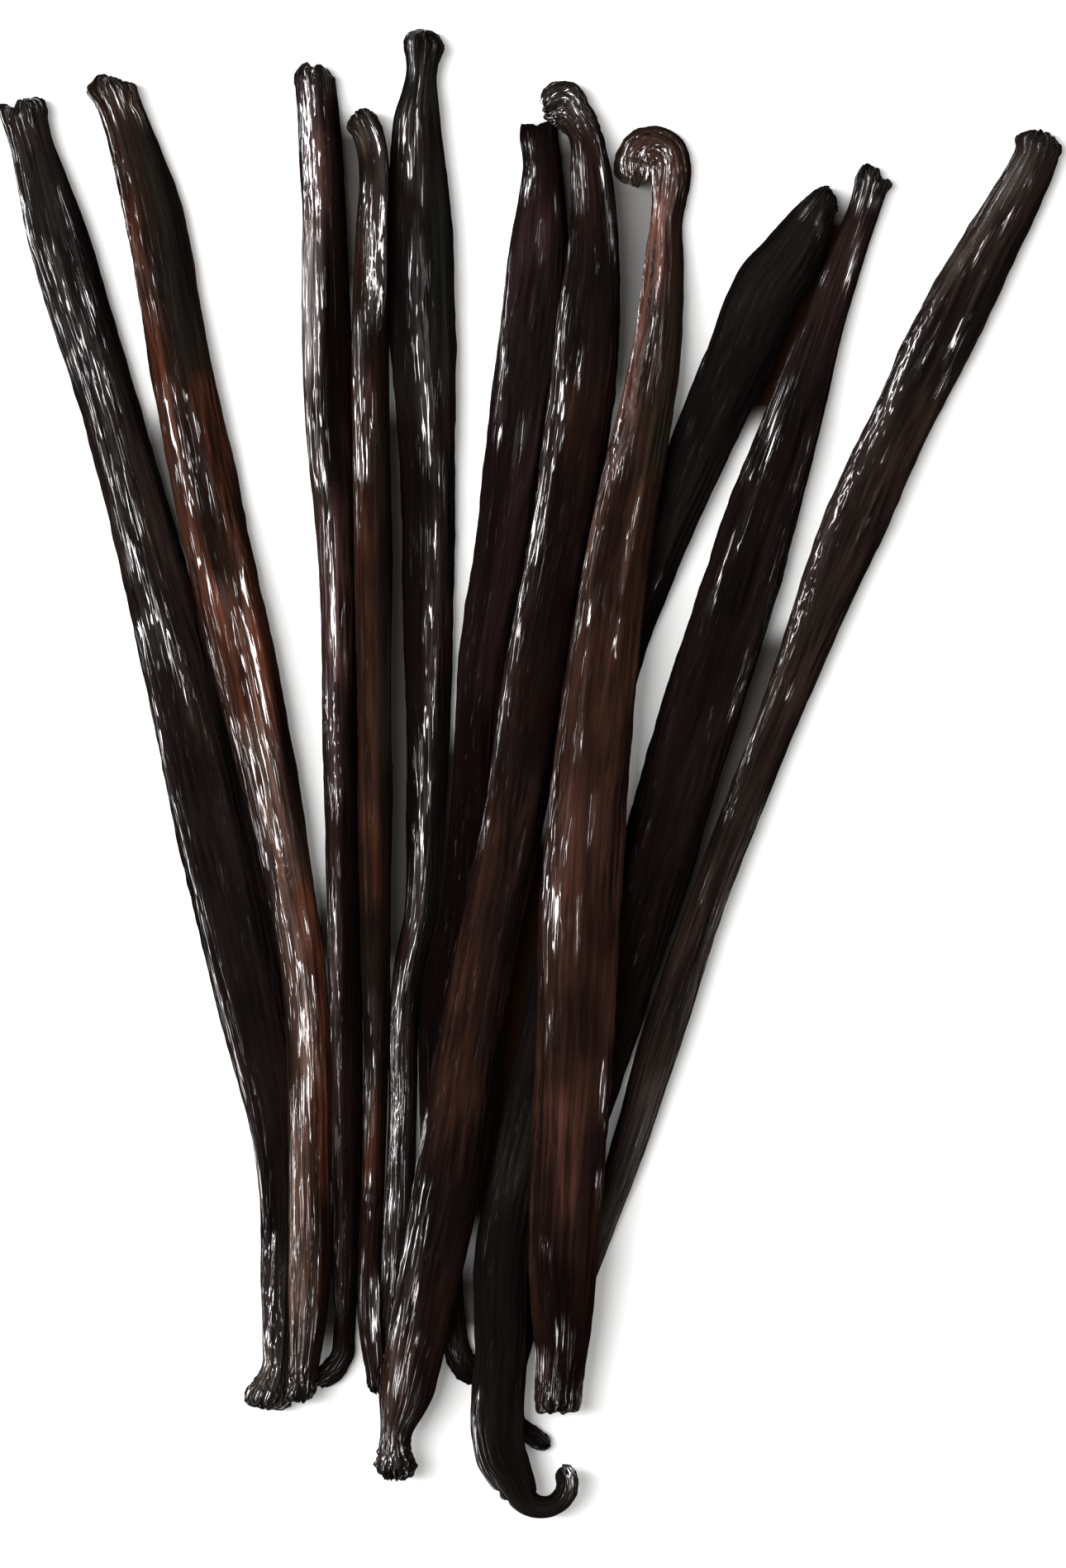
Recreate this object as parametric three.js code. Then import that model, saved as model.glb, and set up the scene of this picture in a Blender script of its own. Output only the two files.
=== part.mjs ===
// A loose bundle of eleven cured vanilla pods, lying fanned out on a flat surface.
//
// Millimetres, +Z up. The surface is z = 0 and the origin is in the middle of the ground that the
// bundle covers. The stem ends fan out towards +Y and the flower ends draw together towards -Y.
// Every pod is one closed solid: an oval section, swept along the pod's course and laid on the
// surface or on the pods beneath it.

import * as THREE from 'three';

// Driving dimensions.
const SIDES = 12;
const STRAIGHT_STEP = 7;
const BEND_STEP = THREE.MathUtils.degToRad(24);
const THICKNESS_BASE = 1.7;
const THICKNESS_SHARE = 0.42;
const MOST_THICKNESS_SHARE = 1.3;
const FLAT_UNDERSIDE = 0.92;
const LOBE_DEPTH = 0.045;
const LOBES = 3;
const RIDGE_SPREAD = THREE.MathUtils.degToRad(26);
const END_ROUNDING = 0.3;
const END_RING_ANGLES = [28, 58, 90].map((degrees) => THREE.MathUtils.degToRad(degrees));
const NECK_RINGS = [2.6, 4.4];
const KNOB_CENTRE = 1.5;
const KNOB_REACH = 1.5;
const COURSE_SAMPLES = 800;

// How the pods lie on each other.
const AIR = 0.35;
const SIDE_AIR = 0.12;
const SAG_RADIUS = 150;
const LAYING_STEP = 1;
const ACROSS = [-0.94, -0.8, -0.6, -0.3, 0, 0.3, 0.6, 0.8, 0.94];

// A curled end: stations spaced evenly along an arc, one for each width.
function curl(centreX, centreY, radius, fromDegrees, toDegrees, widths) {
  return widths.map((width, i) => {
    const degrees = fromDegrees + ((toDegrees - fromDegrees) * i) / (widths.length - 1);
    const angle = THREE.MathUtils.degToRad(degrees);
    return [centreX + radius * Math.cos(angle), centreY + radius * Math.sin(angle), width];
  });
}

// The pods, in the order in which they are laid. A station is [x, y, width seen from above], from
// the stem end to the flower end, and a fourth number is the thickness where the pod lies on edge.
// knob and foot are how much the stem end and the flower end flare. A ridge is [degrees round the
// section, share of the radius], where 0 degrees is the side on the right hand of the way from the
// stem end to the flower end and 90 is the top; below zero it is a groove. turn is how many degrees
// the section's lobes turn along the pod.
const PODS = [
  {
    name: 'pod_right_grooved',
    colour: 0x1a1110,
    knob: 0.2,
    foot: 0,
    turn: 40,
    ridges: [[100, -0.13]],
    stations: [
      [41.5, 73.4, 3.2],
      [40.2, 68.8, 4.0],
      [38.3, 63.8, 4.4],
      [34.9, 53.8, 5.5],
      [31.5, 42.8, 7.3],
      [28.5, 33.8, 8.4],
      [23.8, 18.8, 9.2],
      [19.0, 3.8, 9.3],
      [14.6, -11.2, 9.0],
      [10.1, -26.2, 8.0],
      [5.8, -41.2, 6.6],
      [1.5, -56.2, 4.8],
      [-1.3, -67.2, 3.6],
      [-2.8, -75.2, 3.0],
      [-2.1, -78.8, 2.8],
      [-0.4, -80.0, 2.4],
      [1.8, -81.5, 1.3],
    ],
  },
  {
    name: 'pod_square_ended',
    colour: 0x191013,
    knob: 0.04,
    foot: 0,
    turn: 30,
    ridges: [[50, 0.06]],
    stations: [
      [0.5, 79.0, 4.4],
      [1.2, 73.8, 4.8],
      [0.8, 64.8, 7.0],
      [-0.2, 53.8, 7.4],
      [-1.6, 43.8, 7.2],
      [-3.6, 28.8, 6.4],
      [-6.2, 13.8, 5.7],
      [-7.4, -1.2, 5.0],
      [-8.8, -16.2, 4.6],
      [-11.1, -28.2, 4.8],
      [-11.4, -44.2, 4.6],
      [-11.0, -56.2, 4.4],
      [-9.7, -66.2, 3.0],
      [-9.1, -70.2, 3.2],
      [-8.0, -72.0, 3.0],
      [-6.6, -72.9, 2.2],
    ],
  },
  {
    name: 'pod_curled_tip',
    colour: 0x150e0d,
    knob: 0,
    foot: 0,
    turn: -50,
    ridges: [[70, 0.06]],
    stations: [
      [35.9, 70.8, 2.4],
      [34.0, 67.6, 5.0],
      [31.4, 63.1, 7.2],
      [28.3, 58.8, 8.3],
      [26.3, 53.8, 8.3],
      [21.9, 43.8, 7.8],
      [17.7, 33.8, 7.0],
      [13.4, 23.8, 6.8],
      [9.9, 13.8, 6.6],
      [6.0, -6.2, 6.8],
      [2.8, -26.2, 6.8],
      [-1.5, -46.2, 6.8],
      [-3.7, -58.2, 6.8],
      [-3.9, -70.2, 6.2],
      [-4.3, -76.7, 6.2],
      [-3.8, -82.0, 6.0],
      ...curl(1.2, -85.6, 2.9, 190, 395, [4.4, 3.2, 2.7, 2.5, 2.4, 2.3, 1.9]),
    ],
  },
  {
    name: 'pod_far_right',
    colour: 0x221511,
    knob: 0.06,
    foot: 0,
    turn: 60,
    ridges: [[60, 0.06], [120, -0.06]],
    stations: [
      [61.9, 77.9, 5.1],
      [60.5, 73.8, 5.5],
      [55.2, 63.8, 6.8],
      [50.0, 53.8, 7.8],
      [45.2, 43.8, 7.4],
      [40.5, 33.8, 7.6],
      [36.2, 23.8, 6.8],
      [32.0, 12.8, 5.3, 4.8],
      [26.5, -1.2, 4.6, 5.2],
      [20.8, -16.2, 4.4, 5.2],
      [15.8, -31.2, 4.9, 4.8],
      [11.2, -46.2, 4.3],
      [7.1, -57.2, 3.6],
      [3.3, -70.2, 2.2],
    ],
  },
  {
    name: 'pod_tallest',
    colour: 0x141112,
    knob: 0.22,
    foot: 0,
    turn: -25,
    ridges: [[62, 0.1], [120, -0.05]],
    stations: [
      [-13.1, 90.0, 3.8],
      [-13.4, 85.3, 3.9],
      [-13.9, 78.8, 6.0],
      [-13.6, 67.8, 7.7],
      [-13.4, 53.8, 8.0],
      [-12.7, 35.8, 6.6],
      [-12.7, 15.8, 5.9],
      [-12.9, -4.2, 4.8],
      [-13.5, -16.2, 4.2],
      [-15.4, -26.2, 3.7],
      [-15.8, -41.2, 3.5],
      [-16.3, -56.2, 3.6],
      [-17.2, -70.2, 2.4],
    ],
  },
  {
    name: 'pod_on_edge',
    colour: 0x2a1b19,
    knob: 0.08,
    foot: 0,
    turn: 80,
    ridges: [[75, 0.08]],
    stations: [
      [-26.5, 86.1, 4.3],
      [-25.9, 78.8, 5.3],
      [-25.4, 68.8, 5.3],
      [-25.1, 53.8, 6.0],
      [-24.7, 41.8, 5.7],
      [-23.8, 27.8, 4.6, 5.0],
      [-23.4, 3.8, 4.1, 5.4],
      [-22.9, -19.2, 3.9, 5.0],
      [-22.7, -34.2, 4.0, 4.4],
      [-22.5, -51.2, 3.5],
      [-22.9, -66.2, 2.7],
      [-23.3, -70.7, 2.8],
      [-24.5, -72.4, 2.9],
      [-26.1, -73.8, 1.8],
    ],
  },
  {
    name: 'pod_short',
    colour: 0x2b1b12,
    knob: 0.1,
    foot: 0,
    turn: -60,
    ridges: [[110, 0.08]],
    stations: [
      [-21.2, 80.2, 2.9],
      [-19.9, 77.3, 3.6],
      [-19.3, 73.8, 3.6],
      [-19.5, 63.8, 4.0],
      [-19.7, 48.8, 4.6],
      [-19.4, 31.8, 4.7],
      [-19.2, 8.8, 4.3],
      [-19.1, -14.2, 4.0],
      [-19.0, -36.2, 3.0],
      [-19.4, -51.2, 2.9],
      [-19.8, -66.2, 3.0],
      [-18.9, -74.7, 1.8],
    ],
  },
  {
    name: 'pod_far_left',
    colour: 0x12100f,
    knob: 0.12,
    foot: 0.35,
    turn: 45,
    ridges: [[125, 0.06], [80, -0.05]],
    stations: [
      [-62.0, 81.7, 4.9],
      [-60.9, 77.3, 5.0],
      [-57.2, 63.8, 7.2],
      [-51.1, 43.8, 7.1],
      [-43.2, 13.8, 8.2],
      [-38.7, -6.2, 9.1],
      [-34.3, -26.2, 8.5],
      [-30.7, -46.2, 5.8],
      [-30.7, -62.2, 4.5],
      [-31.1, -72.2, 3.8],
      [-32.4, -76.5, 4.2],
    ],
  },
  {
    name: 'pod_left_brown',
    colour: 0x33211a,
    knob: 0.05,
    foot: 0,
    turn: -45,
    ridges: [[125, 0.08]],
    stations: [
      [-51.2, 84.5, 4.9],
      [-49.2, 78.8, 5.5],
      [-46.3, 68.8, 7.1],
      [-43.4, 53.8, 7.3],
      [-39.5, 33.8, 8.0],
      [-35.0, 13.8, 7.9],
      [-30.8, -6.2, 6.4],
      [-27.6, -26.2, 5.4],
      [-27.0, -46.2, 5.0],
      [-27.1, -62.2, 5.0],
      [-28.1, -75.5, 2.8],
    ],
  },
  {
    name: 'pod_front_brown',
    colour: 0x2c1a15,
    knob: 0,
    foot: 0.16,
    turn: 35,
    ridges: [[50, 0.06], [110, -0.06]],
    stations: [
      [1.9, 81.1, 3.4],
      [3.2, 81.5, 3.8],
      [4.6, 81.1, 3.9],
      [5.7, 79.8, 3.8],
      [6.3, 77.8, 3.6],
      [6.9, 73.8, 4.8],
      [7.4, 64.8, 5.9],
      [6.6, 53.8, 7.6],
      [5.6, 43.8, 7.8],
      [3.2, 28.8, 7.0],
      [0.5, 13.8, 7.3],
      [-2.5, -6.2, 7.2],
      [-6.7, -26.2, 7.2],
      [-9.9, -46.2, 8.3],
      [-13.8, -66.2, 7.3],
      [-15.5, -75.2, 6.2],
      [-16.4, -80.7, 3.9],
      [-16.7, -84.8, 4.0],
    ],
  },
  {
    name: 'pod_curled_stem',
    colour: 0x3f241b,
    knob: 0,
    foot: 0.04,
    turn: -35,
    ridges: [[60, 0.05], [115, -0.05]],
    stations: [
      [12.3, 71.9, 3.4],
      ...curl(14.5, 74.3, 2.4, 180, 0, [4.2, 4.3, 4.3, 4.3, 4.3]),
      [16.7, 71.0, 4.3],
      [16.1, 66.8, 4.0],
      [16.0, 63.0, 4.5],
      [15.1, 52.8, 5.8],
      [13.4, 42.8, 6.6],
      [11.2, 31.8, 7.4],
      [9.2, 18.8, 8.3],
      [7.2, 2.8, 9.0],
      [5.8, -14.2, 9.7],
      [5.2, -31.2, 9.6],
      [4.1, -48.2, 8.7],
      [3.5, -61.2, 7.9],
      [3.4, -69.2, 6.5],
      [2.9, -76.8, 4.9],
    ],
  },
];

// The course of a pod seen from above, with its width and thickness along the same parameter.
function spineOf(pod) {
  const places = pod.stations.map(([x, y]) => new THREE.Vector3(x, y, 0));
  const sizes = pod.stations.map(([, , width, thickness]) => {
    const usual = THICKNESS_BASE + THICKNESS_SHARE * width;
    return new THREE.Vector3(width, Math.min(thickness ?? usual, MOST_THICKNESS_SHARE * width), 0);
  });
  const course = new THREE.CatmullRomCurve3(places, false, 'centripetal');
  course.arcLengthDivisions = COURSE_SAMPLES;
  return {
    course,
    sizes: new THREE.CatmullRomCurve3(sizes, false, 'catmullrom', 0.5),
    length: course.getLength(),
  };
}

// How much an end swells or rounds off, at a distance from that end.
function endShape(distance, endWidth, flare) {
  const rounding = END_ROUNDING * endWidth;
  const inside = Math.max(0, 1 - distance / rounding);
  const knob = 1 + flare * Math.exp(-(((distance - KNOB_CENTRE) / KNOB_REACH) ** 2));
  return knob * Math.sqrt(1 - inside * inside);
}

// One cross-section of a pod: its centre, the direction to its right-hand side and its half sizes.
function sliceAt(pod, spine, distance) {
  const parameter = spine.course.getUtoTmapping(distance / spine.length);
  const centre = spine.course.getPoint(parameter);
  const along = spine.course.getTangent(parameter);
  const size = spine.sizes.getPoint(parameter);
  const head = endShape(distance, pod.stations[0][2], pod.knob);
  const foot = endShape(spine.length - distance, pod.stations.at(-1)[2], pod.foot);
  return {
    distance,
    centre,
    side: new THREE.Vector3(along.y, -along.x, 0),
    halfWidth: 0.5 * size.x * head * foot,
    halfThickness: 0.5 * size.y * head * foot,
    turn: THREE.MathUtils.degToRad(pod.turn * (distance / spine.length)),
  };
}

// Slices spaced evenly along a pod, for laying it.
function slicesOf(pod, spine) {
  const count = Math.round(spine.length / LAYING_STEP);
  return Array.from({ length: count + 1 }, (_, i) => sliceAt(pod, spine, (i * spine.length) / count));
}

// The top of a laid pod over a point, or 0 where the pod isn't under it.
function topOver(laid, x, y) {
  let top = 0;
  for (const slice of laid) {
    const dx = x - slice.centre.x;
    const dy = y - slice.centre.y;
    const across = dx * slice.side.x + dy * slice.side.y;
    const along = dy * slice.side.x - dx * slice.side.y;
    const reach = slice.halfWidth + SIDE_AIR;
    if (Math.abs(along) <= LAYING_STEP && Math.abs(across) < reach) {
      const arch = Math.sqrt(1 - (across / reach) ** 2);
      top = Math.max(top, slice.height + slice.halfThickness * arch);
    }
  }
  return top;
}

// The lowest height at which a slice's centre clears the surface and the pods laid before it.
function clearHeight(slice, laidPods) {
  let height = FLAT_UNDERSIDE * slice.halfThickness;
  for (const share of ACROSS) {
    const depth = slice.halfThickness * Math.min(FLAT_UNDERSIDE, Math.sqrt(1 - share * share));
    const x = slice.centre.x + share * slice.halfWidth * slice.side.x;
    const y = slice.centre.y + share * slice.halfWidth * slice.side.y;
    for (const laid of laidPods) {
      const top = topOver(laid, x, y);
      height = top > 0 ? Math.max(height, top + AIR + depth) : height;
    }
  }
  return height;
}

// Lays a pod: it clears what is under it and sags between its supports no tighter than it can bend.
function lay(slices, laidPods) {
  const clear = slices.map((slice) => clearHeight(slice, laidPods));
  slices.forEach((slice) => {
    const drape = clear.map((height, i) => {
      return height - (slice.distance - slices[i].distance) ** 2 / (2 * SAG_RADIUS);
    });
    slice.height = Math.max(...drape);
  });
}

// The distances along a pod at which it gets a ring. Each one is a fixed cost of length and of turn
// after the last, so they stand close together where the pod bends, and there are more at its ends.
function ringDistances(pod, spine) {
  const ends = END_RING_ANGLES.map((angle) => END_ROUNDING * (1 - Math.cos(angle)));
  const head = [...ends.map((share) => share * pod.stations[0][2]), ...NECK_RINGS];
  const foot = [...ends.map((share) => share * pod.stations.at(-1)[2]), ...NECK_RINGS];
  const first = head.at(-1);
  const last = spine.length - foot.at(-1);
  const step = (last - first) / COURSE_SAMPLES;
  const costs = [0];
  let before = spine.course.getTangentAt(first / spine.length);
  for (let i = 1; i <= COURSE_SAMPLES; i += 1) {
    const here = spine.course.getTangentAt((first + step * i) / spine.length);
    costs.push(costs[i - 1] + step / STRAIGHT_STEP + before.angleTo(here) / BEND_STEP);
    before = here;
  }
  const count = Math.ceil(costs.at(-1));
  const middle = [];
  for (let ring = 1; ring < count; ring += 1) {
    const sample = costs.findIndex((cost) => cost >= (costs.at(-1) * ring) / count);
    middle.push(first + step * sample);
  }
  return [...head, ...middle, ...foot.map((distance) => spine.length - distance).reverse()];
}

// The height of a laid pod's centre at a distance along it.
function heightAt(slices, distance) {
  const place = (distance / slices.at(-1).distance) * (slices.length - 1);
  const index = Math.min(Math.floor(place), slices.length - 2);
  return THREE.MathUtils.lerp(slices[index].height, slices[index + 1].height, place - index);
}

// The shape of the section: an oval with three soft lobes, ridges and grooves.
function swelling(pod, slice, angle) {
  let swell = 1 + LOBE_DEPTH * Math.cos(LOBES * (angle - slice.turn));
  for (const [degrees, share] of pod.ridges) {
    const off = THREE.MathUtils.euclideanModulo(
      angle - THREE.MathUtils.degToRad(degrees) + Math.PI,
      2 * Math.PI,
    ) - Math.PI;
    swell += share * Math.exp(-((off / RIDGE_SPREAD) ** 2));
  }
  return swell;
}

// The corners of one ring. Half a step of turn puts a flat side underneath.
function ringCorners(pod, slice, height) {
  return Array.from({ length: SIDES }, (_, side) => {
    const angle = ((side + 0.5) * 2 * Math.PI) / SIDES;
    const swell = angle < Math.PI ? swelling(pod, slice, angle) : 1;
    const up = Math.max(Math.sin(angle) * swell, -FLAT_UNDERSIDE) * slice.halfThickness;
    const corner = slice.centre.clone();
    corner.addScaledVector(slice.side, Math.cos(angle) * Math.min(swell, 1) * slice.halfWidth);
    corner.z = height + up;
    return corner;
  });
}

// The closed skin: a fan at each end and a band of triangles between each two rings.
function podGeometry(pod, spine, slices) {
  const rings = ringDistances(pod, spine).map((distance) => {
    return ringCorners(pod, sliceAt(pod, spine, distance), heightAt(slices, distance));
  });
  const stem = spine.course.getPointAt(0).setZ(heightAt(slices, 0));
  const tip = spine.course.getPointAt(1).setZ(heightAt(slices, spine.length));
  const corners = [...rings.flat(), stem, tip];
  const index = [];
  for (let side = 0; side < SIDES; side += 1) {
    const next = (side + 1) % SIDES;
    const lastRing = (rings.length - 1) * SIDES;
    index.push(corners.length - 2, side, next);
    index.push(corners.length - 1, lastRing + next, lastRing + side);
    for (let ring = 0; ring < lastRing; ring += SIDES) {
      index.push(ring + side, ring + SIDES + side, ring + next);
      index.push(ring + SIDES + side, ring + SIDES + next, ring + next);
    }
  }
  const geometry = new THREE.BufferGeometry().setFromPoints(corners);
  geometry.setIndex(index);
  geometry.computeVertexNormals();
  return geometry;
}

// The glossy, oily skin of one pod.
function skin(pod) {
  return new THREE.MeshStandardMaterial({ color: pod.colour, roughness: 0.3, metalness: 0 });
}

const bundle = new THREE.Group();
bundle.name = 'vanilla_pods';
const laidPods = [];
for (const pod of PODS) {
  const spine = spineOf(pod);
  const slices = slicesOf(pod, spine);
  lay(slices, laidPods);
  laidPods.push(slices);
  const mesh = new THREE.Mesh(podGeometry(pod, spine, slices), skin(pod));
  mesh.name = pod.name;
  bundle.add(mesh);
}

// The origin goes to the middle of the ground that the bundle covers.
const middle = new THREE.Box3().setFromObject(bundle).getCenter(new THREE.Vector3());
bundle.position.set(-middle.x, -middle.y, 0);

export default bundle;
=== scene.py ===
# %% [markdown]
# # A loose bundle of cured vanilla pods
#
# Eleven pods lie fanned out on a flat surface. A cured pod is an oily, wrinkled, near black tube about
# 160 mm long, with a knobbed stem end, a plump middle and a thin flower end that often curls. The CAD
# frame already has every pod's course, width and height. This lesson gives each pod its skin: folds,
# wrinkles, knobs and scars as real geometry, and a dark glossy finish made of nodes.

# %% The fixed frame
import math

import bmesh
import bpy
import numpy as np
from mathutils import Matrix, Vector


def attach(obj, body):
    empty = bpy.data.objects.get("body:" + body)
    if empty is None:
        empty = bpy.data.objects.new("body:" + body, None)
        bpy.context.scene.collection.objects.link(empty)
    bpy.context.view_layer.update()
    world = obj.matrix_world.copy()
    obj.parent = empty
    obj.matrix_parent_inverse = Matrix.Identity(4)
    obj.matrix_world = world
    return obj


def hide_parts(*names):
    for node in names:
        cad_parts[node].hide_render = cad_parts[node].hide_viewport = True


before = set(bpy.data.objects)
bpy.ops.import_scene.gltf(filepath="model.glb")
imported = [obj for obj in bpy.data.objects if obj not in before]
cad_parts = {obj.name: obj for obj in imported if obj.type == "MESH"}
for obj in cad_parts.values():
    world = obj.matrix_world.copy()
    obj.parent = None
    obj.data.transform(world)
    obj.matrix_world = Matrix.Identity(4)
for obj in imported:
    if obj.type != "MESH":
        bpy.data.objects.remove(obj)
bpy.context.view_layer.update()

MM = 0.001


# %% [markdown]
# ## Camera
#
# The camera looks straight down, with +Y up in the image. A long lens from far above keeps the raised
# pods from spreading outwards. The height of the view is set, and the lens follows from it and the
# camera's distance.

# %% Camera
VIEW_HEIGHT = 189.7 * MM
VIEW_CENTRE = (0.10 * MM, -1.18 * MM)
CAMERA_DISTANCE = 800 * MM
SENSOR = 36.0
FOCUS_HEIGHT = 4 * MM


def in_scene(name, data):
    """A new object that is linked to the scene."""
    thing = bpy.data.objects.new(name, data)
    bpy.context.scene.collection.objects.link(thing)
    return thing


camera = in_scene("camera", bpy.data.cameras.new("camera"))
camera.data.sensor_width = SENSOR
camera.data.lens = SENSOR * CAMERA_DISTANCE / VIEW_HEIGHT
camera.location = (*VIEW_CENTRE, FOCUS_HEIGHT + CAMERA_DISTANCE)
bpy.context.scene.camera = camera
print("lens in mm:", round(camera.data.lens, 1))

# %% [markdown]
# ## Reading a pod's course from its CAD solid
#
# Each CAD pod is a tube of rings with twelve corners, closed by a fan at each end. Only in the middle
# of a fan do twelve edges meet, so the stem end is easy to find, and walking on from it edge by edge
# gives ring after ring. A second table of sizes here would do too, but it could disagree with the
# frame. The corners are merged first, because an imported mesh is loose triangles.

# %% Rings of a CAD pod
SIDES = 12
MERGE = 0.001 * MM


def rings_of(node):
    """The corners of a CAD pod in mm, as rows from its stem end to its flower end."""
    bm = bmesh.new()
    bm.from_mesh(node.data)
    bmesh.ops.remove_doubles(bm, verts=bm.verts, dist=MERGE)
    poles = [vert for vert in bm.verts if len(vert.link_edges) == SIDES]
    ring = [max(poles, key=lambda vert: vert.co.y)]
    seen = set(ring)
    rows = []
    while ring:
        rows.append(np.array([vert.co for vert in ring]) / MM)
        beyond = {edge.other_vert(vert) for vert in ring for edge in vert.link_edges}
        ring = list(beyond - seen)
        seen |= beyond
    bm.free()
    return rows


def in_order(rows):
    """The corners as one array, each ring starting low on the side that faces -X and going up."""
    middles = np.array([row.mean(0) for row in rows])
    along = np.gradient(middles, axis=0)
    lattice = np.empty((len(rows), SIDES, 3))
    for i, row in enumerate(rows):
        if len(row) == 1:
            lattice[i] = row
            continue
        side = np.array([along[i, 1], -along[i, 0]]) / math.hypot(along[i, 0], along[i, 1])
        off = row - middles[i]
        angle = np.arctan2(off[:, 2], off[:, :2] @ side) % (2 * math.pi)
        lattice[i] = row[np.argsort(angle)]
    return lattice


lattices = {name: in_order(rings_of(node)) for name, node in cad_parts.items()}
print("rings in each pod:", {name: len(lattice) for name, lattice in lattices.items()})

# %% [markdown]
# ## A smooth skin through the rings
#
# Twelve corners make a faceted tube. Cubic curves through them, first along the pod and then round it,
# give a smooth one that still meets every corner of the frame. A subdivision surface would shrink away
# from the corners and pinch at the ends. Past each end the rings are mirrored through the end's middle,
# so that the curve closes it as a round dome. The new rows lie closer where the rings do, in the bends.

# %% Curves through rows
def carry(rows, knots, places):
    """Values given at knots, carried along smooth curves to new places."""
    slopes = np.gradient(rows, knots, axis=0)
    before = np.clip(np.searchsorted(knots, places, side="right") - 1, 0, len(knots) - 2)
    gap = knots[before + 1] - knots[before]
    shape = (-1,) + (1,) * (rows.ndim - 1)
    t = ((places - knots[before]) / gap).reshape(shape)
    gap = gap.reshape(shape)
    start, end = rows[before], rows[before + 1]
    return (
        start * (1 + 2 * t) * (1 - t) ** 2
        + end * t**2 * (3 - 2 * t)
        + slopes[before] * gap * t * (1 - t) ** 2
        + slopes[before + 1] * gap * t**2 * (t - 1)
    )


ALONG, AROUND = 420, 128
BEND_SHARE = 0.35
HALF = 0.5


def smooth_skin(lattice):
    """A fine grid of points over a pod, and how far along it each row lies, in mm."""
    steps = np.linalg.norm(np.diff(lattice, axis=0), axis=2).mean(1)
    knots = np.concatenate([[0], np.cumsum(steps)])
    count = len(knots) - 1
    turned = np.roll(lattice, SIDES // 2, 1)
    padded = np.concatenate([turned[1:2], lattice, turned[-2:-1]])
    padded_knots = np.concatenate([[-steps[0]], knots, [knots[-1] + steps[-1]]])
    share = np.linspace(0, 1, ALONG + 1)
    by_ring = BEND_SHARE * np.arange(count + 1) / count + (1 - BEND_SHARE) * knots / knots[-1]
    places = np.interp(share, by_ring, knots)
    rows = carry(padded, padded_knots, places)
    turn = np.arange(-2, SIDES + 3) + HALF
    round_rows = np.concatenate([rows[:, -2:], rows, rows[:, :3]], axis=1).swapaxes(0, 1)
    angles = np.arange(AROUND) * SIDES / AROUND
    return carry(round_rows, turn, angles).swapaxes(0, 1), places


print("each skin has", ALONG + 1, "rows of", AROUND, "points")

# %% [markdown]
# ## Measures on a skin
#
# Wrinkles and marks are placed by where a point lies on its pod: how far along, how far across as seen
# from above, whether on the upper side, and which way is outwards. The last comes from the two
# directions of the grid, whose cross product stands square to the skin.

# %% Measures of a skin
UPPER_BLEND = 1.2
LEAST_HALF_WIDTH = 0.4
TINY = 1e-9


def eased(value):
    value = np.clip(value, 0, 1)
    return value * value * (3 - 2 * value)


def bell(value):
    return np.exp(-(value**2))


def unit(vectors):
    return vectors / np.maximum(np.linalg.norm(vectors, axis=-1, keepdims=True), TINY)


def measured(points, places):
    """A skin with all that bands and wrinkles need to know of its points."""
    middle = points.mean(1)
    along = np.gradient(middle, axis=0)
    side = unit(np.stack([along[:, 1], -along[:, 0]], axis=1))
    off = points - middle[:, None]
    left = np.einsum("ijk,ik->ij", off[..., :2], side)
    half_width = np.maximum(np.abs(left).max(1), LEAST_HALF_WIDTH)
    lengthwise = np.gradient(points, axis=0)
    crosswise = (np.roll(points, -1, 1) - np.roll(points, 1, 1)) / 2
    normal = unit(np.cross(crosswise, lengthwise))
    normal *= np.sign(np.einsum("ijk,ijk->ij", normal, off).sum())
    normal[0], normal[-1] = unit(middle[0] - middle[1]), unit(middle[-1] - middle[-2])
    return {
        "points": points,
        "places": places,
        "row_y": middle[:, 1],
        "half_width": half_width,
        "across": -left / half_width[:, None],
        "upper": eased(HALF + off[..., 2] / UPPER_BLEND),
        "normal": normal,
        "length": places[-1],
        "from_ends": np.array([places, places[-1] - places]),
        "girth": np.linalg.norm(np.roll(points, -1, 1) - points, axis=2).sum(1).mean(),
    }


skins = {name: measured(*smooth_skin(lattice)) for name, lattice in lattices.items()}
for name, skin in skins.items():
    print(name, "is", round(skin["length"], 1), "mm long and", round(skin["girth"], 1), "mm round")

# %% [markdown]
# ## Wrinkles
#
# Curing shrinks a pod, so its skin folds lengthwise: broad folds a few millimetres apart, wrinkles on
# them, and faint cross buckles that break the glints into dashes. A noise texture in a Displace
# modifier could draw them, but its grain has one size in all directions. Here white noise on the
# unrolled skin is filtered by frequency: a band round the pod sets how far apart the ridges are, and a
# low pass along it sets their length. The noise wraps round, so it has no seam.

# %% Wrinkle fields
ROWS_PER_MM = 3
SPREAD = 0.55
LOWEST = 1e-6


def wrinkles(draw, skin, across, along):
    """Random ridges about `across` mm apart and `along` mm long, with a spread of 1 round zero."""
    count = int(skin["length"] * ROWS_PER_MM)
    around = np.abs(np.fft.fftfreq(AROUND, 1 / AROUND))[None, :] / skin["girth"]
    lengthwise = np.abs(np.fft.fftfreq(count, 1 / ROWS_PER_MM))[:, None]
    octaves = np.log(np.maximum(around * across, LOWEST)) / SPREAD
    keep = np.exp(-(octaves**2) - (lengthwise * along) ** 2)
    field = np.fft.ifft2(np.fft.fft2(draw.standard_normal((count, AROUND))) * keep).real
    row = skin["places"] / skin["length"] * (count - 1)
    low = np.minimum(row.astype(int), count - 2)
    share = (row - low)[:, None]
    return (field[low] * (1 - share) + field[low + 1] * share) / field.std()


print("wrinkle fields have", ROWS_PER_MM, "rows a mm")

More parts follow.
